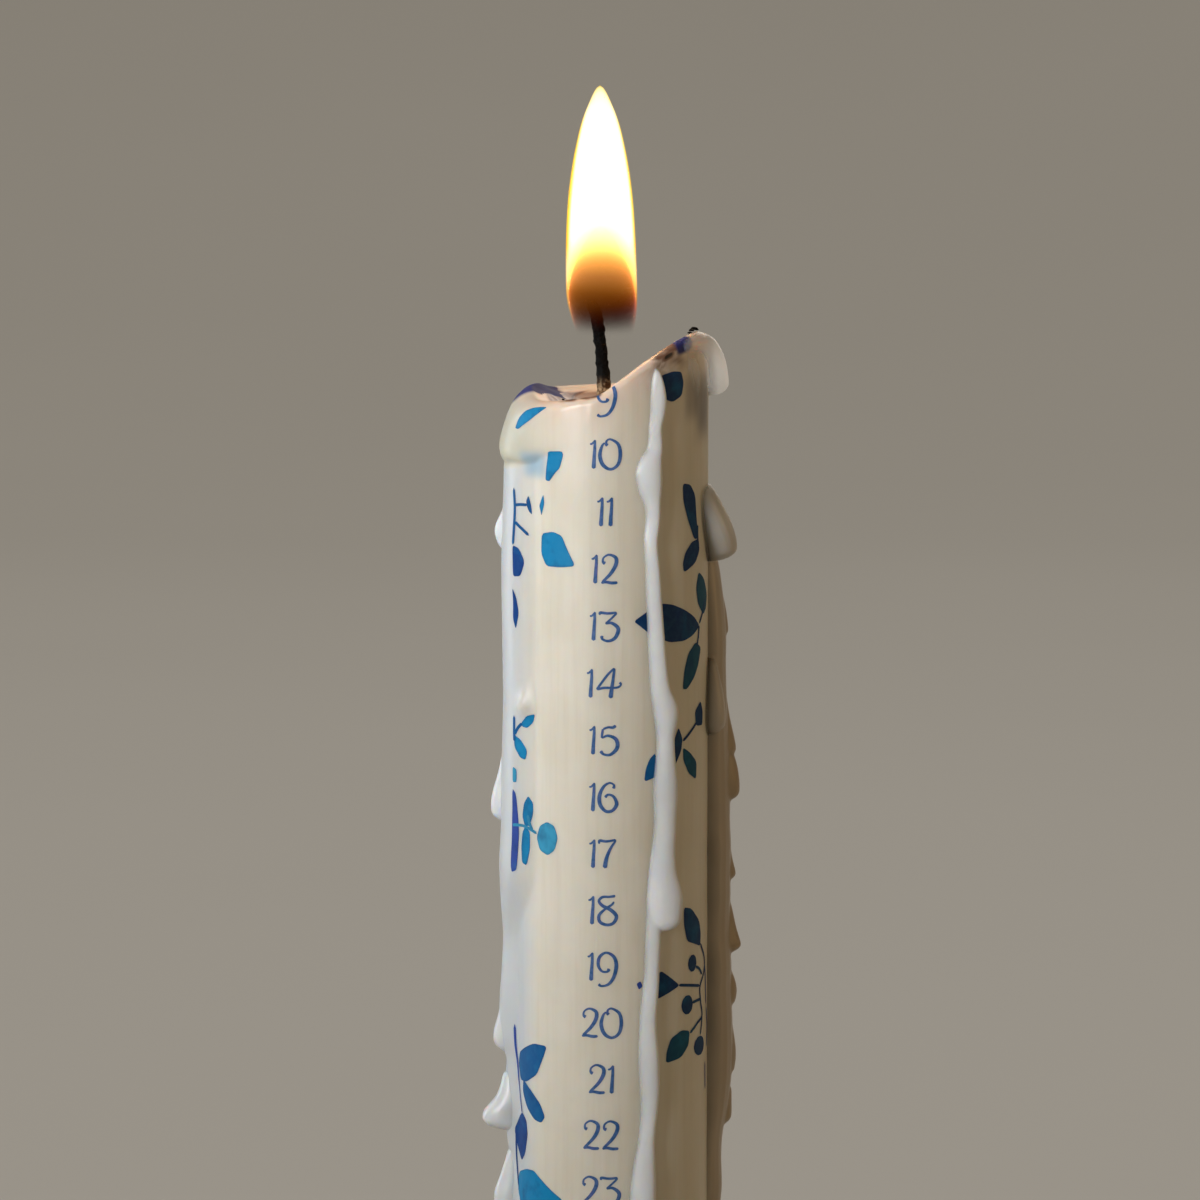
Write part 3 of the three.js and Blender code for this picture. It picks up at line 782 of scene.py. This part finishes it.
def spline(points, t):
    """A smooth point through a list of tuples, t from 0 to 1."""
    rows = [(i, *point) for i, point in enumerate(points)]
    x = t * (len(points) - 1)
    return [along(rows, x, column) for column in range(1, len(points[0]) + 1)]


def pen_stroke(bm, points, right, foot, nib=1.0, steps=9):
    """A ribbon along the points, as wide as the pen pressed at each, with rounded ends."""
    count = steps * (len(points) - 1)
    made = bmesh.ops.create_grid(bm, x_segments=3, y_segments=count, size=1.0)
    length = sum(math.dist(a[:2], b[:2]) for a, b in zip(points, points[1:]))
    for vert in made["verts"]:
        across, t = vert.co.x, (vert.co.y + 1) / 2
        x, y, width = spline(points, t)
        x0, y0, _ = spline(points, max(t - 0.01, 0))
        x1, y1, _ = spline(points, min(t + 0.01, 1))
        run = Vector((x1 - x0, y1 - y0)).normalized()
        half = width / 2 * nib * rounded(min(t, 1 - t) * length / (width / 2))
        vert.co = (right + x - run.y * across * half, foot + y + run.x * across * half, 0)
    return made["verts"]


def cut_at_rim(bm):
    """Takes away, while the film is flat, what the melted rim has taken away."""
    gone = [v for v in bm.verts if v.co.y > along(RIM, math.degrees(v.co.x / CORE)) - 0.02]
    bmesh.ops.delete(bm, geom=gone, context="VERTS")


def face_out(bm):
    """Turns every face of a film away from the candle."""
    for face in bm.faces:
        face.normal_update()
        middle = face.calc_center_median()
        if face.normal.dot(Vector((middle.x, middle.y, 0.15))) < 0:
            face.normal_flip()


figures = bmesh.new()
for number in range(FIRST, LAST + 1):
    middle = LAST_HIGH + (LAST - number) * FIGURE_PITCH
    *before, last = str(number)
    left = along(COLUMN, middle) - (sum(ADVANCE[c] for c in before) + WIDTH[last]) / 2
    for figure in (*before, last):
        for points in STROKES[figure]:
            pen_stroke(figures, points, left, middle - FIGURE_HIGH / 2, nib=1.06)
        left += ADVANCE.get(figure, 0)
cut_at_rim(figures)
lay_film(figures.verts)
face_out(figures)

number_ink, paint, shader = material("number_ink", {"Roughness": 0.42, "IOR": 1.45})
blot = paint.cloud(2600, 3.0)
edge = paint.cloud(900, 2.0)
blue = coated(screen(36, 84, 138),
              (blot.step(0.3, 0.7), (76, 108, 162)),
              (edge.step(0.55, 0.75) * 0.4, (92, 88, 166)))
feed(shader, base_color=blue, alpha=0.98 - blot.step(0.64, 0.82) * 0.3)
finish(figures, "printed_numbers", number_ink)


# ---- Printed leaves ---------------------------------------------------------------------------
# Two climbing sprigs of leaves and berries, one on each side of the numbers, and more round the
# back, in watery blues. Each leaf is a flat outline of (angle, height) points, rounded between
# them, laid on the wax as a thin film. Stems are pen strokes.
SKY, CYAN, BLUE, DEEP = (58, 152, 192), (0, 128, 182), (0, 88, 146), (0, 62, 130)
NAVY, TEAL, VIOLET = (0, 52, 94), (0, 76, 100), (54, 76, 158)
STEM_WIDE = 0.34


def forward(angle, height):
    """Where a print meant for the bare stick ended up on the thick film down the left side."""
    if not -100 < angle < -52:
        return angle
    t = tucked(height)
    moved = along([(-100, -100), (-90, -70), (-84, -68.4), (-78, -66.6), (-70, -63.2),
                   (-64, -60.2), (-58, -56.6), (-52, -52), (0, 0)], angle)
    return angle * t + (1 - t) * moved


def leaf(bm, outline, colour, lift=FILM):
    """A filled outline on the wax, with its corners softened twice, cut into a fine net."""
    points = [Vector((math.radians(forward(a, z)) * CORE, z, 0)) for a, z in outline]
    for _ in range(2):
        softer = []
        for here, after in zip(points, points[1:] + points[:1]):
            softer += [here.lerp(after, 0.15), here.lerp(after, 0.85)]
        points = softer
    faces = [bm.faces.new([bm.verts.new(p) for p in points])]
    for axis in (0, 1):
        low, high = min(p[axis] for p in points), max(p[axis] for p in points)
        for step in range(math.floor(low * 2) + 1, math.ceil(high * 2)):
            plane, normal = Vector((0, 0, 0)), Vector((0, 0, 0))
            plane[axis], normal[axis] = step / 2, 1
            geometry = faces + list({e for f in faces for e in f.edges})
            geometry += list({v for f in faces for v in f.verts})
            made = bmesh.ops.bisect_plane(bm, geom=geometry, plane_co=plane, plane_no=normal)
            faces = [g for g in made["geom"] if isinstance(g, bmesh.types.BMFace)]
    verts = list({v for f in faces for v in f.verts})
    for vert in verts:
        vert[bm.verts.layers.float_color["ink"]] = screen(*colour)
        vert[bm.verts.layers.float["edge"]] = 1.0 if vert.is_boundary else 0.0
        top = along(RIM, math.degrees(vert.co.x / CORE)) - 0.12
        vert.co.y = min(vert.co.y, top)
    lay_film(verts, lift)


def stem(bm, points, colour):
    """A thin stroke through (angle, height) points."""
    path = [(math.radians(forward(a, z)) * CORE, z, STEM_WIDE) for a, z in points]
    verts = pen_stroke(bm, path, 0, 0, steps=6)
    for vert in verts:
        vert[bm.verts.layers.float_color["ink"]] = screen(*colour)
        vert[bm.verts.layers.float["edge"]] = 0.4
    lay_film(verts, FILM * 1.3)


def berry(bm, angle, height, across, high, colour):
    """A round or oval field. across and high are half its size in millimetres."""
    ring = []
    for i in range(10):
        turn = math.tau * i / 10
        ring.append((angle + math.degrees(across * math.cos(turn) / CORE),
                     height + high * math.sin(turn)))
    leaf(bm, ring, colour)


LEFT_LEAVES = [
    ([(-79, 113.6), (-76, 114.7), (-67, 115.6), (-57, 116.0), (-50, 116.15), (-43, 116.2),
      (-47, 115.7), (-54, 114.8), (-62, 114.1), (-71, 113.5)], CYAN),
    ([(-41.4, 111.2), (-31.5, 111.3), (-30.5, 110.9), (-32.8, 109.4), (-36.7, 108.7),
      (-40.5, 107.8), (-43.8, 107.9), (-43.2, 109.1), (-42.1, 110.3)], CYAN),
    ([(-60.1, 106.0), (-57.2, 105.0), (-56.0, 103.8), (-59.5, 104.2), (-62.3, 104.9),
      (-62.5, 105.4)], BLUE),
    ([(-45.4, 106.3), (-44.7, 105.2), (-47.2, 103.8), (-48.0, 104.3), (-49.2, 104.9),
      (-47.4, 105.6)], CYAN),
    ([(-46.9, 101.8), (-37.9, 102.1), (-31.6, 101.7), (-27.7, 100.1), (-22.6, 98.3),
      (-31.6, 98.1), (-43.0, 98.1), (-47.4, 99.5)], CYAN),
    ([(-84, 100.2), (-72, 99.9), (-64, 98.4), (-69.5, 96.7), (-82, 96.6), (-86, 98.4)], DEEP),
    ([(-85, 95.3), (-76, 94.3), (-72, 92.4), (-77, 90.5), (-86, 91.8), (-87, 93.8)], DEEP),
    ([(-69, 79.9), (-61.2, 80.7), (-53, 81.0), (-55.2, 80.0), (-61.2, 79.3), (-68, 79.4)],
     CYAN),
    ([(-81.5, 78.4), (-70, 77.9), (-61.3, 76.7), (-63.2, 75.6), (-70.0, 75.8), (-80, 77.0)],
     CYAN),
    ([(-86, 74.7), (-75, 74.4), (-75, 72.9), (-86, 72.9)], SKY),
    ([(-84, 72.2), (-76, 71.6), (-71, 67.5), (-73, 62.8), (-84, 62.4), (-85, 67.5)], VIOLET),
    ([(-60.3, 71.5), (-55.4, 70.7), (-55.4, 69.5), (-58.9, 68.0), (-64.2, 68.0),
      (-67.0, 69.1), (-65.0, 70.6)], CYAN),
    ([(-63.4, 68.0), (-58.4, 67.3), (-58.4, 65.3), (-61.5, 63.4), (-66.8, 63.7),
      (-68.0, 65.5), (-66.8, 67.2)], CYAN),
    ([(-42.7, 68.8), (-37.0, 68.4), (-34.5, 67.1), (-36.8, 65.6), (-42.3, 64.9),
      (-49.2, 65.4), (-52.2, 66.8), (-49.2, 68.2)], SKY),
    ([(-67.3, 41.9), (-55.0, 42.8), (-43.0, 42.8), (-46.6, 41.2), (-52.1, 39.2),
      (-63.9, 38.0), (-74.0, 37.9), (-79, 39.5), (-77, 41.0)], BLUE),
    ([(-69.0, 38.2), (-58.3, 37.2), (-49.3, 36.0), (-44.6, 34.5), (-48.0, 33.7),
      (-55.1, 33.9), (-63.9, 35.1), (-69.8, 36.7)], BLUE),
    ([(-71.1, 34.2), (-64.6, 33.5), (-63.0, 31.8), (-66.2, 29.5), (-72.4, 28.4),
      (-80.3, 29.6), (-84, 31.7), (-78, 33.4)], DEEP),
    ([(-79, 26.9), (-64.1, 27.8), (-55.2, 27.9), (-46.8, 26.9), (-38.4, 25.9), (-30.5, 25.0),
      (-36, 22.6), (-52, 21.4), (-70, 22.2), (-80, 24.6)], CYAN),
]
LEFT_STEMS = [
    ([(-83, 106.8), (-80, 104.6), (-81, 102.0), (-83, 100.2)], BLUE),
    ([(-80, 104.8), (-70, 104.9), (-61.5, 104.9)], BLUE),
    ([(-79, 102.9), (-70.0, 102.3), (-59.2, 101.4)], BLUE),
    ([(-82, 80.6), (-81, 78.8), (-80, 77.6)], BLUE),
    ([(-80, 78.4), (-74, 79.2), (-68, 79.8)], BLUE),
    ([(-82, 67.9), (-74, 68.0), (-63.4, 67.9), (-51.8, 67.2)], SKY),
    ([(-61, 69.3), (-58.5, 68.2), (-56, 67.6)], SKY),
    ([(-82, 44.2), (-81, 41), (-78, 37.5), (-71, 33.8)], VIOLET),
    ([(-82, 32), (-82, 28), (-79, 25)], DEEP),
]
RIGHT_LEAVES = [
    ([(24, 119.0), (31, 117.3), (37.7, 116.8), (45.1, 117.5), (46.6, 119.0), (44.6, 120.2),
      (38.1, 120.3), (30, 119.9)], NAVY),
    ([(46.3, 107.5), (53.3, 107.3), (58.6, 106.0), (60.0, 103.4), (62.4, 101.0),
      (57.3, 101.0), (51.2, 103.1), (46.6, 105.5)], NAVY),
    ([(62.9, 101.0), (64.4, 99.6), (59.2, 98.3), (47.2, 97.3), (46.2, 98.4), (48.5, 99.6),
      (54.3, 100.7)], NAVY),
    ([(63.0, 97.2), (71.4, 96.3), (79, 94.3), (76.3, 92.8), (69.9, 92.1), (62.1, 93.5),
      (59.8, 95.4)], TEAL),
    ([(12.4, 92.1), (16.5, 91.5), (21.0, 90.8), (27.7, 90.1), (35.8, 89.5), (47.5, 89.5),
      (56.1, 90.0), (64.5, 90.9), (57.7, 92.1), (47.5, 93.1), (37.9, 93.8), (29.6, 94.0),
      (21.9, 93.3)], NAVY),
    ([(59.4, 89.2), (66.8, 88.4), (63.4, 86.6), (57.8, 85.1), (50.3, 83.9), (46.4, 84.0),
      (47.9, 86.2), (51.4, 88.0)], TEAL),
    ([(66.3, 82.3), (69.6, 80.9), (69.0, 79.4), (60.1, 79.5), (58.7, 81.2)], NAVY),
    ([(42.9, 79.7), (46.3, 78.3), (45.3, 77.0), (40.4, 75.4), (37.8, 74.8), (37.4, 76.6),
      (39.7, 78.4)], NAVY),
    ([(46.7, 77.3), (53.8, 76.5), (60.8, 75.3), (60.0, 73.3), (51.8, 74.2), (46.9, 75.8)],
     TEAL),
    ([(26.2, 77.0), (27.6, 74.3), (18.9, 73.7), (20.0, 75.2), (22.4, 76.3)], BLUE),
    ([(47.7, 58.8), (55.0, 58.5), (65.0, 56.8), (67.3, 55.2), (66.5, 53.8), (58.4, 54.3),
      (50.5, 54.8), (47.7, 56.8)], NAVY),
    ([(27.0, 51.2), (30.3, 51.8), (36.2, 51.0), (44.2, 49.85), (36.2, 49.2), (27.0, 48.5)],
     NAVY),
    ([(14.3, 50.5), (16.7, 50.8), (18.2, 50.2), (15.8, 49.8)], VIOLET),
    ([(46, 44.6), (53.6, 44.3), (52.5, 42.7), (45.6, 41.4), (33.7, 41.0), (34.2, 42.3),
      (37.2, 43.8)], TEAL),
]
RIGHT_STEMS = [
    ([(61.5, 102.6), (61.5, 101.4), (62.5, 100.2)], NAVY),
    ([(64, 91.2), (69, 92.4), (73, 94)], NAVY),
    ([(64, 91.0), (63, 89.8), (61, 88.6)], NAVY),
    ([(61.6, 80), (53.5, 78.9), (46.4, 78.0)], NAVY),
    ([(66.2, 54.2), (74.4, 52.1), (73.2, 50.6), (66.3, 49.1), (67.3, 47.4), (69.8, 45.6),
      (62.2, 44.9), (53.6, 44.0)], NAVY),
    ([(43, 49.9), (53.7, 49.6), (66, 49.2)], NAVY),
    ([(60.2, 51.6), (65, 51.2), (69.5, 50.4)], NAVY),
    ([(56.2, 47.5), (62, 47.6), (67, 47.6)], NAVY),
    ([(67, 43.4), (69, 44.6), (69.8, 45.6)], NAVY),
    ([(79, 46.5), (82, 43.8), (80.3, 41.5)], VIOLET), ([(76, 40.1), (76.7, 36.6)], VIOLET),
    ([(74, 52), (77, 49.6), (78.8, 46.4)], VIOLET),
]
RIGHT_BERRIES = [(56.3, 52.1, 0.92, 1.02, NAVY), (51.2, 47.4, 1.08, 1.15, NAVY),
                 (65.8, 42.2, 1.5, 1.15, NAVY)]
SPRIG_LEAVES = 19
SPRIG_PITCH = 4.4


def back_sprig(leaves, stems, angle, foot, colours):
    """Adds a stem that climbs the back of the candle, with a leaf to each side in turn."""
    stems.append(([(angle + 3 * math.sin(i * 1.3), foot + SPRIG_PITCH * i)
                   for i in range(SPRIG_LEAVES + 1)], DEEP))
    for i in range(SPRIG_LEAVES):
        way = 1 if i % 2 else -1
        z, root = foot + SPRIG_PITCH * i + 2, angle + 3 * math.sin(i * 1.3 + 0.6)
        long, wide = 23 + 4 * math.sin(i * 2.1), 1.1 + 0.3 * math.cos(i * 1.7)
        outline = [(root + way * long * t, z + 2.2 * t + side * wide * math.sin(math.pi * t ** 0.8))
                   for side, spread in ((1, (0.05, 0.25, 0.5, 0.75, 1.0)), (-1, (0.75, 0.5, 0.25)))
                   for t in spread]
        leaves.append((outline, colours[i % len(colours)]))


back_sprig(LEFT_LEAVES, LEFT_STEMS, -160, 27, (BLUE, DEEP, CYAN))
back_sprig(RIGHT_LEAVES, RIGHT_STEMS, 163, 24, (NAVY, TEAL, DEEP))


def print_piece(name, leaves, stems, berries, ink):
    """Lays one side's print. Its top leaf sits higher, on the slumped shoulder."""
    bm = bmesh.new()
    bm.verts.layers.float_color.new("ink")
    bm.verts.layers.float.new("edge")
    for outline, colour in leaves:
        leaf(bm, outline, colour, lift=2.5 * FILM if outline[0][1] > 114 else FILM)
    for points, colour in stems:
        stem(bm, points, colour)
    for angle, height, across, high, colour in berries:
        berry(bm, angle, height, across, high, colour)
    face_out(bm)
    finish(bm, name, ink)


leaf_ink, paint, shader = material("leaf_ink", {"Roughness": 0.55, "Specular IOR Level": 0.2})
wash = paint.cloud(420, 3.0)
grain = paint.cloud(1500, 3.0)
watery = coated(paint.attribute("ink", 0),
                (wash.step(0.50, 0.80) * 0.22, (0, 146, 196)),
                ((1 - wash).step(0.50, 0.78) * 0.45, (0, 42, 96)),
                (paint.attribute("edge") * 0.30, (0, 54, 114)),
                (grain.step(0.35, 0.9) * 0.05, (110, 190, 210)))
feed(shader, base_color=watery)
print_piece("printed_leaves_left", LEFT_LEAVES, LEFT_STEMS, [], leaf_ink)
print_piece("printed_leaves_right", RIGHT_LEAVES, RIGHT_STEMS, RIGHT_BERRIES, leaf_ink)


# ---- Wick -------------------------------------------------------------------------------------
# A braided cotton cord, soaked in wax where it leaves the bowl, brown above it and charred
# black at its bent end, where a few threads still glow.
WICK_THICK = 0.9                   # half its thickness
WICK_ROUTE = [                     # (sideways, back, up) from the foot of the hole
    (0, 0, 0.35), (0, 0, 40), (0, 0, 80), (0, 0, 112), (-0.05, 0, 117), (-0.35, -0.1, 121.5),
    (-0.75, -0.3, 125), (-1.3, -0.5, 127), (-2.05, -0.6, 128.2),
]
WICK_FOOT, WICK_TIP = WICK_ROUTE[0][2], WICK_ROUTE[-1][2]

cord = bmesh.new()
char_layer = cord.verts.layers.float.new("char")
bmesh.ops.create_uvsphere(cord, u_segments=40, v_segments=420, radius=1)
route = [(z, x, y) for x, y, z in WICK_ROUTE]
for vert in cord.verts:
    down, turn = on_ball(vert)
    high = WICK_TIP - (WICK_TIP - WICK_FOOT) * down ** 1.8
    x, y = along(route, high, 1), along(route, high, 2)
    lean = Vector((along(route, high + 0.3, 1) - along(route, high - 0.3, 1),
                   along(route, high + 0.3, 2) - along(route, high - 0.3, 2), 0.6)).normalized()
    side = lean.cross(Vector((0, 1, 0))).normalized()
    front = side.cross(lean)
    char = clamp((high - 116.5) / 5.0)
    braid = math.sin(3 * turn + high * 2.6) * math.sin(3 * turn - high * 2.6)
    rough = lumps(math.cos(turn) * 1.6, math.sin(turn) * 1.6, high * 1.5)
    crumb = lumps(math.cos(turn) * 4, math.sin(turn) * 4, high * 4.5)
    thick = WICK_THICK * (1 - 0.24 * char)
    radius = thick + 0.06 * braid + char * (0.16 * rough + 0.12 * crumb)
    radius *= rounded(min((WICK_TIP - high) / 0.8, (high - WICK_FOOT) / 0.15))
    vert.co = (Vector((WICK_X + x, y, high))
               + (side * math.cos(turn) + front * math.sin(turn)) * radius)
    vert[char_layer] = char
bmesh.ops.recalc_face_normals(cord, faces=cord.faces)

charred, paint, shader = material("charred_cotton", {
    "Roughness": 0.75, "Specular IOR Level": 0.15, "Emission Strength": 4.0})
char = paint.attribute("char")
threads = paint.cloud(2400, 3.0)
ash = paint.cloud(4200, 4.0)
soaked = threads.step(0.42, 0.6).mix(screen(92, 66, 44), screen(176, 150, 118))
black = ash.step(0.62, 0.80).mix(screen(5, 4, 4), screen(52, 48, 46))
ember = ash.step(0.66, 0.74) * paint.axis(2).step(0.1262, 0.1280)
feed(shader, base_color=char.step(0.15, 0.6).mix(soaked, black),
     emission_color=ember.mix((0, 0, 0, 1), screen(255, 120, 30)),
     roughness=0.45 + char * 0.4, normal=paint.bump(threads + ash, 0.0002, 0.8))
finish(cord, "wick_cord", charred, ["wick"])

# Scraps of char that fell on the wax and stuck there.
crumbs = bmesh.new()
crumb_char = crumbs.verts.layers.float.new("char")
for angle, height, size in ((61, 124.45, 0.16), (64, 124.75, 0.22), (67, 124.95, 0.16),
                            (71, 124.85, 0.20), (75, 124.7, 0.12), (-34, 117.1, 0.12)):
    made = bmesh.ops.create_icosphere(crumbs, subdivisions=3, radius=size)
    spot = on_candle(angle, height, CORE - 1.0)
    for vert in made["verts"]:
        bite = noise.noise(vert.co * 5 + spot)
        vert.co = spot + Vector((vert.co.x * 1.3, vert.co.y, vert.co.z * 0.8)) * (1 + 0.7 * bite)
        vert[crumb_char] = 1.0
finish(crumbs, "char_crumbs", charred)


# ---- Flame ------------------------------------------------------------------------------------
# Burning wax vapour, no solid at all: a golden, glowing body with a white-hot heart. Low down it
# burns only at its sides, round a dark hollow of unburnt vapour and soot through which the wick
# shows. It stands on the burning end of the wick and fades to nothing at its foot.
flame_low, flame_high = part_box("flame")
FLAME_FOOT, FLAME_TIP = flame_low[2] / MM, flame_high[2] / MM
# (height, sideways) of the flame's middle, then (height, half its width) of its two skins
FLAME_LEAN = [(FLAME_FOOT, -0.70), (129, -1.25), (FLAME_TIP, -1.44)]
FLAME_HALF = [
    (FLAME_FOOT, 2.75), (124.2, 3.25), (126, 3.7), (127.7, 4.0), (129.5, 4.09), (133, 4.03),
    (136.5, 3.9), (140, 3.64), (143.6, 3.15), (147.1, 2.42), (148.9, 1.88), (150.6, 1.18),
    (151.7, 0.66), (FLAME_TIP, 0.2),
]
SOOT_HALF = [
    (FLAME_FOOT, 2.5), (124.2, 3.1), (126, 3.55), (127.7, 3.75), (129, 3.75), (130, 3.6),
    (131, 3.35), (132.2, 2.95), (133.4, 2.4), (134.5, 1.85), (135.3, 1.35), (136.4, 0.3),
]


def flame_skin(rows, foot, tip, shrunk=0.0):
    """The rounded skin of a shape turned about the flame's leaning axis, in a new bmesh."""
    bm = bmesh.new()
    bmesh.ops.create_uvsphere(bm, u_segments=96, v_segments=110, radius=1)
    for vert in bm.verts:
        down, turn = on_ball(vert)
        high = tip - (tip - foot) * down
        half = max(along(rows, high) - shrunk, 0.0)
        half *= rounded((tip - high) / 0.35) * rounded((high - foot) / 1.2)
        vert.co = (along(FLAME_LEAN, high) + half * math.cos(turn), half * math.sin(turn), high)
    return bm


def flame_paint(name, stops, foot, reach, clear, opaque, most):
    """A glow whose colour climbs through stops over reach metres, fading out below opaque."""
    made, paint, shader = material(name, {
        "Base Color": (0.012, 0.005, 0.002, 1), "Roughness": 1.0, "Specular IOR Level": 0.0,
        "Emission Strength": 1.0})
    height = paint.axis(2)
    climb = height.node("ShaderNodeValToRGB", {"stops": stops}, {0: (height - foot) / reach})
    feed(shader, emission_color=climb, alpha=height.step(clear, opaque) * most)
    return made, paint


def fill(glow, space):
    """Puts a volume inside a closed piece."""
    links = glow.node_tree.links
    links.new(space, glow.node_tree.nodes["Material Output"].inputs["Volume"])


def vapour(paint, density, strength):
    """A volume that dims by its density and glows by its strength."""
    made = paint.tree.nodes.new("ShaderNodeVolumePrincipled")
    made.inputs["Color"].default_value = (0, 0, 0, 1)
    made.inputs["Density"].default_value = density
    made.inputs["Emission Strength"].default_value = strength
    return made


def leave_light_alone(piece):
    """A flame throws no shadow, and its light comes from the lamp inside it."""
    piece.visible_shadow = False
    piece.visible_diffuse = False


# The glow climbs through colours with height, dark at the foot. Each layer nearer the flame's
# side burns like one up to 9 mm higher, so the dark inside ends in a rounded arch. out is how far
# a spot lies from the leaning axis, as a share of half the flame's width there.
body_glow, paint = flame_paint("flame_body_glow", [
    (0.0, screen(0, 0, 0)), (0.25, screen(40, 14, 0)), (0.52, screen(120, 66, 2)),
    (0.72, screen(224, 168, 14)), (1.0, screen(255, 212, 40))], 0.1230, 0.015, 0.1238, 0.1292, 0.46)
x, y, z = (paint.axis(number) for number in range(3))
foot, tip = FLAME_FOOT * MM, FLAME_TIP * MM
lean = (paint.node("ShaderNodeMapRange", None, {0: z, 1: foot, 2: 0.129, 3: -0.0007, 4: -0.00125})
        + paint.node("ShaderNodeMapRange", None, {0: z, 1: 0.129, 2: tip, 3: 0.0, 4: -0.00019}))
high = z.math("MAXIMUM", z - 0.131, 0.0) / 0.0214
half = (0.0029 + z.step(0.1215, 0.1290) * 0.00116) * (1 - high * high) ** 0.6
out = ((x - lean) * (x - lean) + y * y) ** 0.5 / half
layer = z + 0.0088 * out ** (8 - z.step(0.1265, 0.1345) * 5.2)
LAYERS = [                         # (height in mm, red, green, blue)
    (123, 0, 0, 0), (130, 0.005, 0, 0), (132, 0.05, 0.001, 0), (134, 0.46, 0.006, 0),
    (135, 0.66, 0.10, 0), (136, 0.84, 0.34, 0.005), (138, 1.0, 0.60, 0.14),
    (140, 1.1, 0.80, 0.42), (142, 1.2, 0.95, 0.70), (150, 1.3, 1.1, 0.85), (161, 1.3, 1.1, 0.85),
]
stops = [((mm - 123) / 38, (red / 2, green / 2, blue / 2, 1)) for mm, red, green, blue in LAYERS]
glow = paint.node("ShaderNodeValToRGB", {"stops": stops}, {0: (layer - 0.123) / 0.038})
rim = out.step(0.89, 0.99) * z.step(0.1300, 0.1345)
glow = rim.mix(glow, (0.36, 0.16, 0.002, 1))
glow = z.step(0.1238, 0.1306).mix((0, 0, 0, 1), glow)
burning = vapour(paint, 0.0, 2000)
paint.tree.links.new(glow.socket, burning.inputs["Emission Color"])
fill(body_glow, burning.outputs[0])
leave_light_alone(finish(flame_skin(FLAME_HALF, FLAME_FOOT, FLAME_TIP), "flame_body",
                         body_glow, ["flame"]))

heart_glow, _ = flame_paint("flame_heart_glow", [
    (0.0, screen(255, 200, 60)), (0.5, screen(255, 240, 190)), (1.0, screen(255, 252, 244))],
    0.1370, 0.0060, 0.1390, 0.1440, 0.5)
leave_light_alone(finish(flame_skin(FLAME_HALF, 137.5, FLAME_TIP - 0.7, 0.35), "flame_heart",
                         heart_glow, ["flame"]))

soot_dark, paint = flame_paint("flame_soot", [
    (0.0, screen(0, 0, 0)), (0.5, screen(30, 9, 1)), (1.0, screen(120, 50, 8))],
    0.1245, 0.0105, 0.1250, 0.1300, 0.03)
height = paint.axis(2)
mixed = paint.tree.nodes.new("ShaderNodeMixShader")
thick = (height.step(0.1238, 0.1282) - height.step(0.1296, 0.1356)) * 0.98
paint.tree.links.new(thick.socket, mixed.inputs[0])
paint.tree.links.new(vapour(paint, 0.0, 0.0).outputs[0], mixed.inputs[1])
paint.tree.links.new(vapour(paint, 620, 0.0).outputs[0], mixed.inputs[2])
fill(soot_dark, mixed.outputs[0])
leave_light_alone(finish(flame_skin(SOOT_HALF, FLAME_FOOT + 0.2, 136.4), "flame_hollow",
                         soot_dark, ["flame"]))

flame_light = bpy.data.lights.new("flame_light", "POINT")
flame_light.energy = 0.009
flame_light.color = (1.0, 0.62, 0.30)
flame_light.shadow_soft_size = 0.004
flame_lamp = bpy.data.objects.new("flame_light", flame_light)
flame_lamp.location = Vector((-1.4, 0, 135)) * MM
flame_lamp.visible_camera = False
bpy.context.scene.collection.objects.link(flame_lamp)
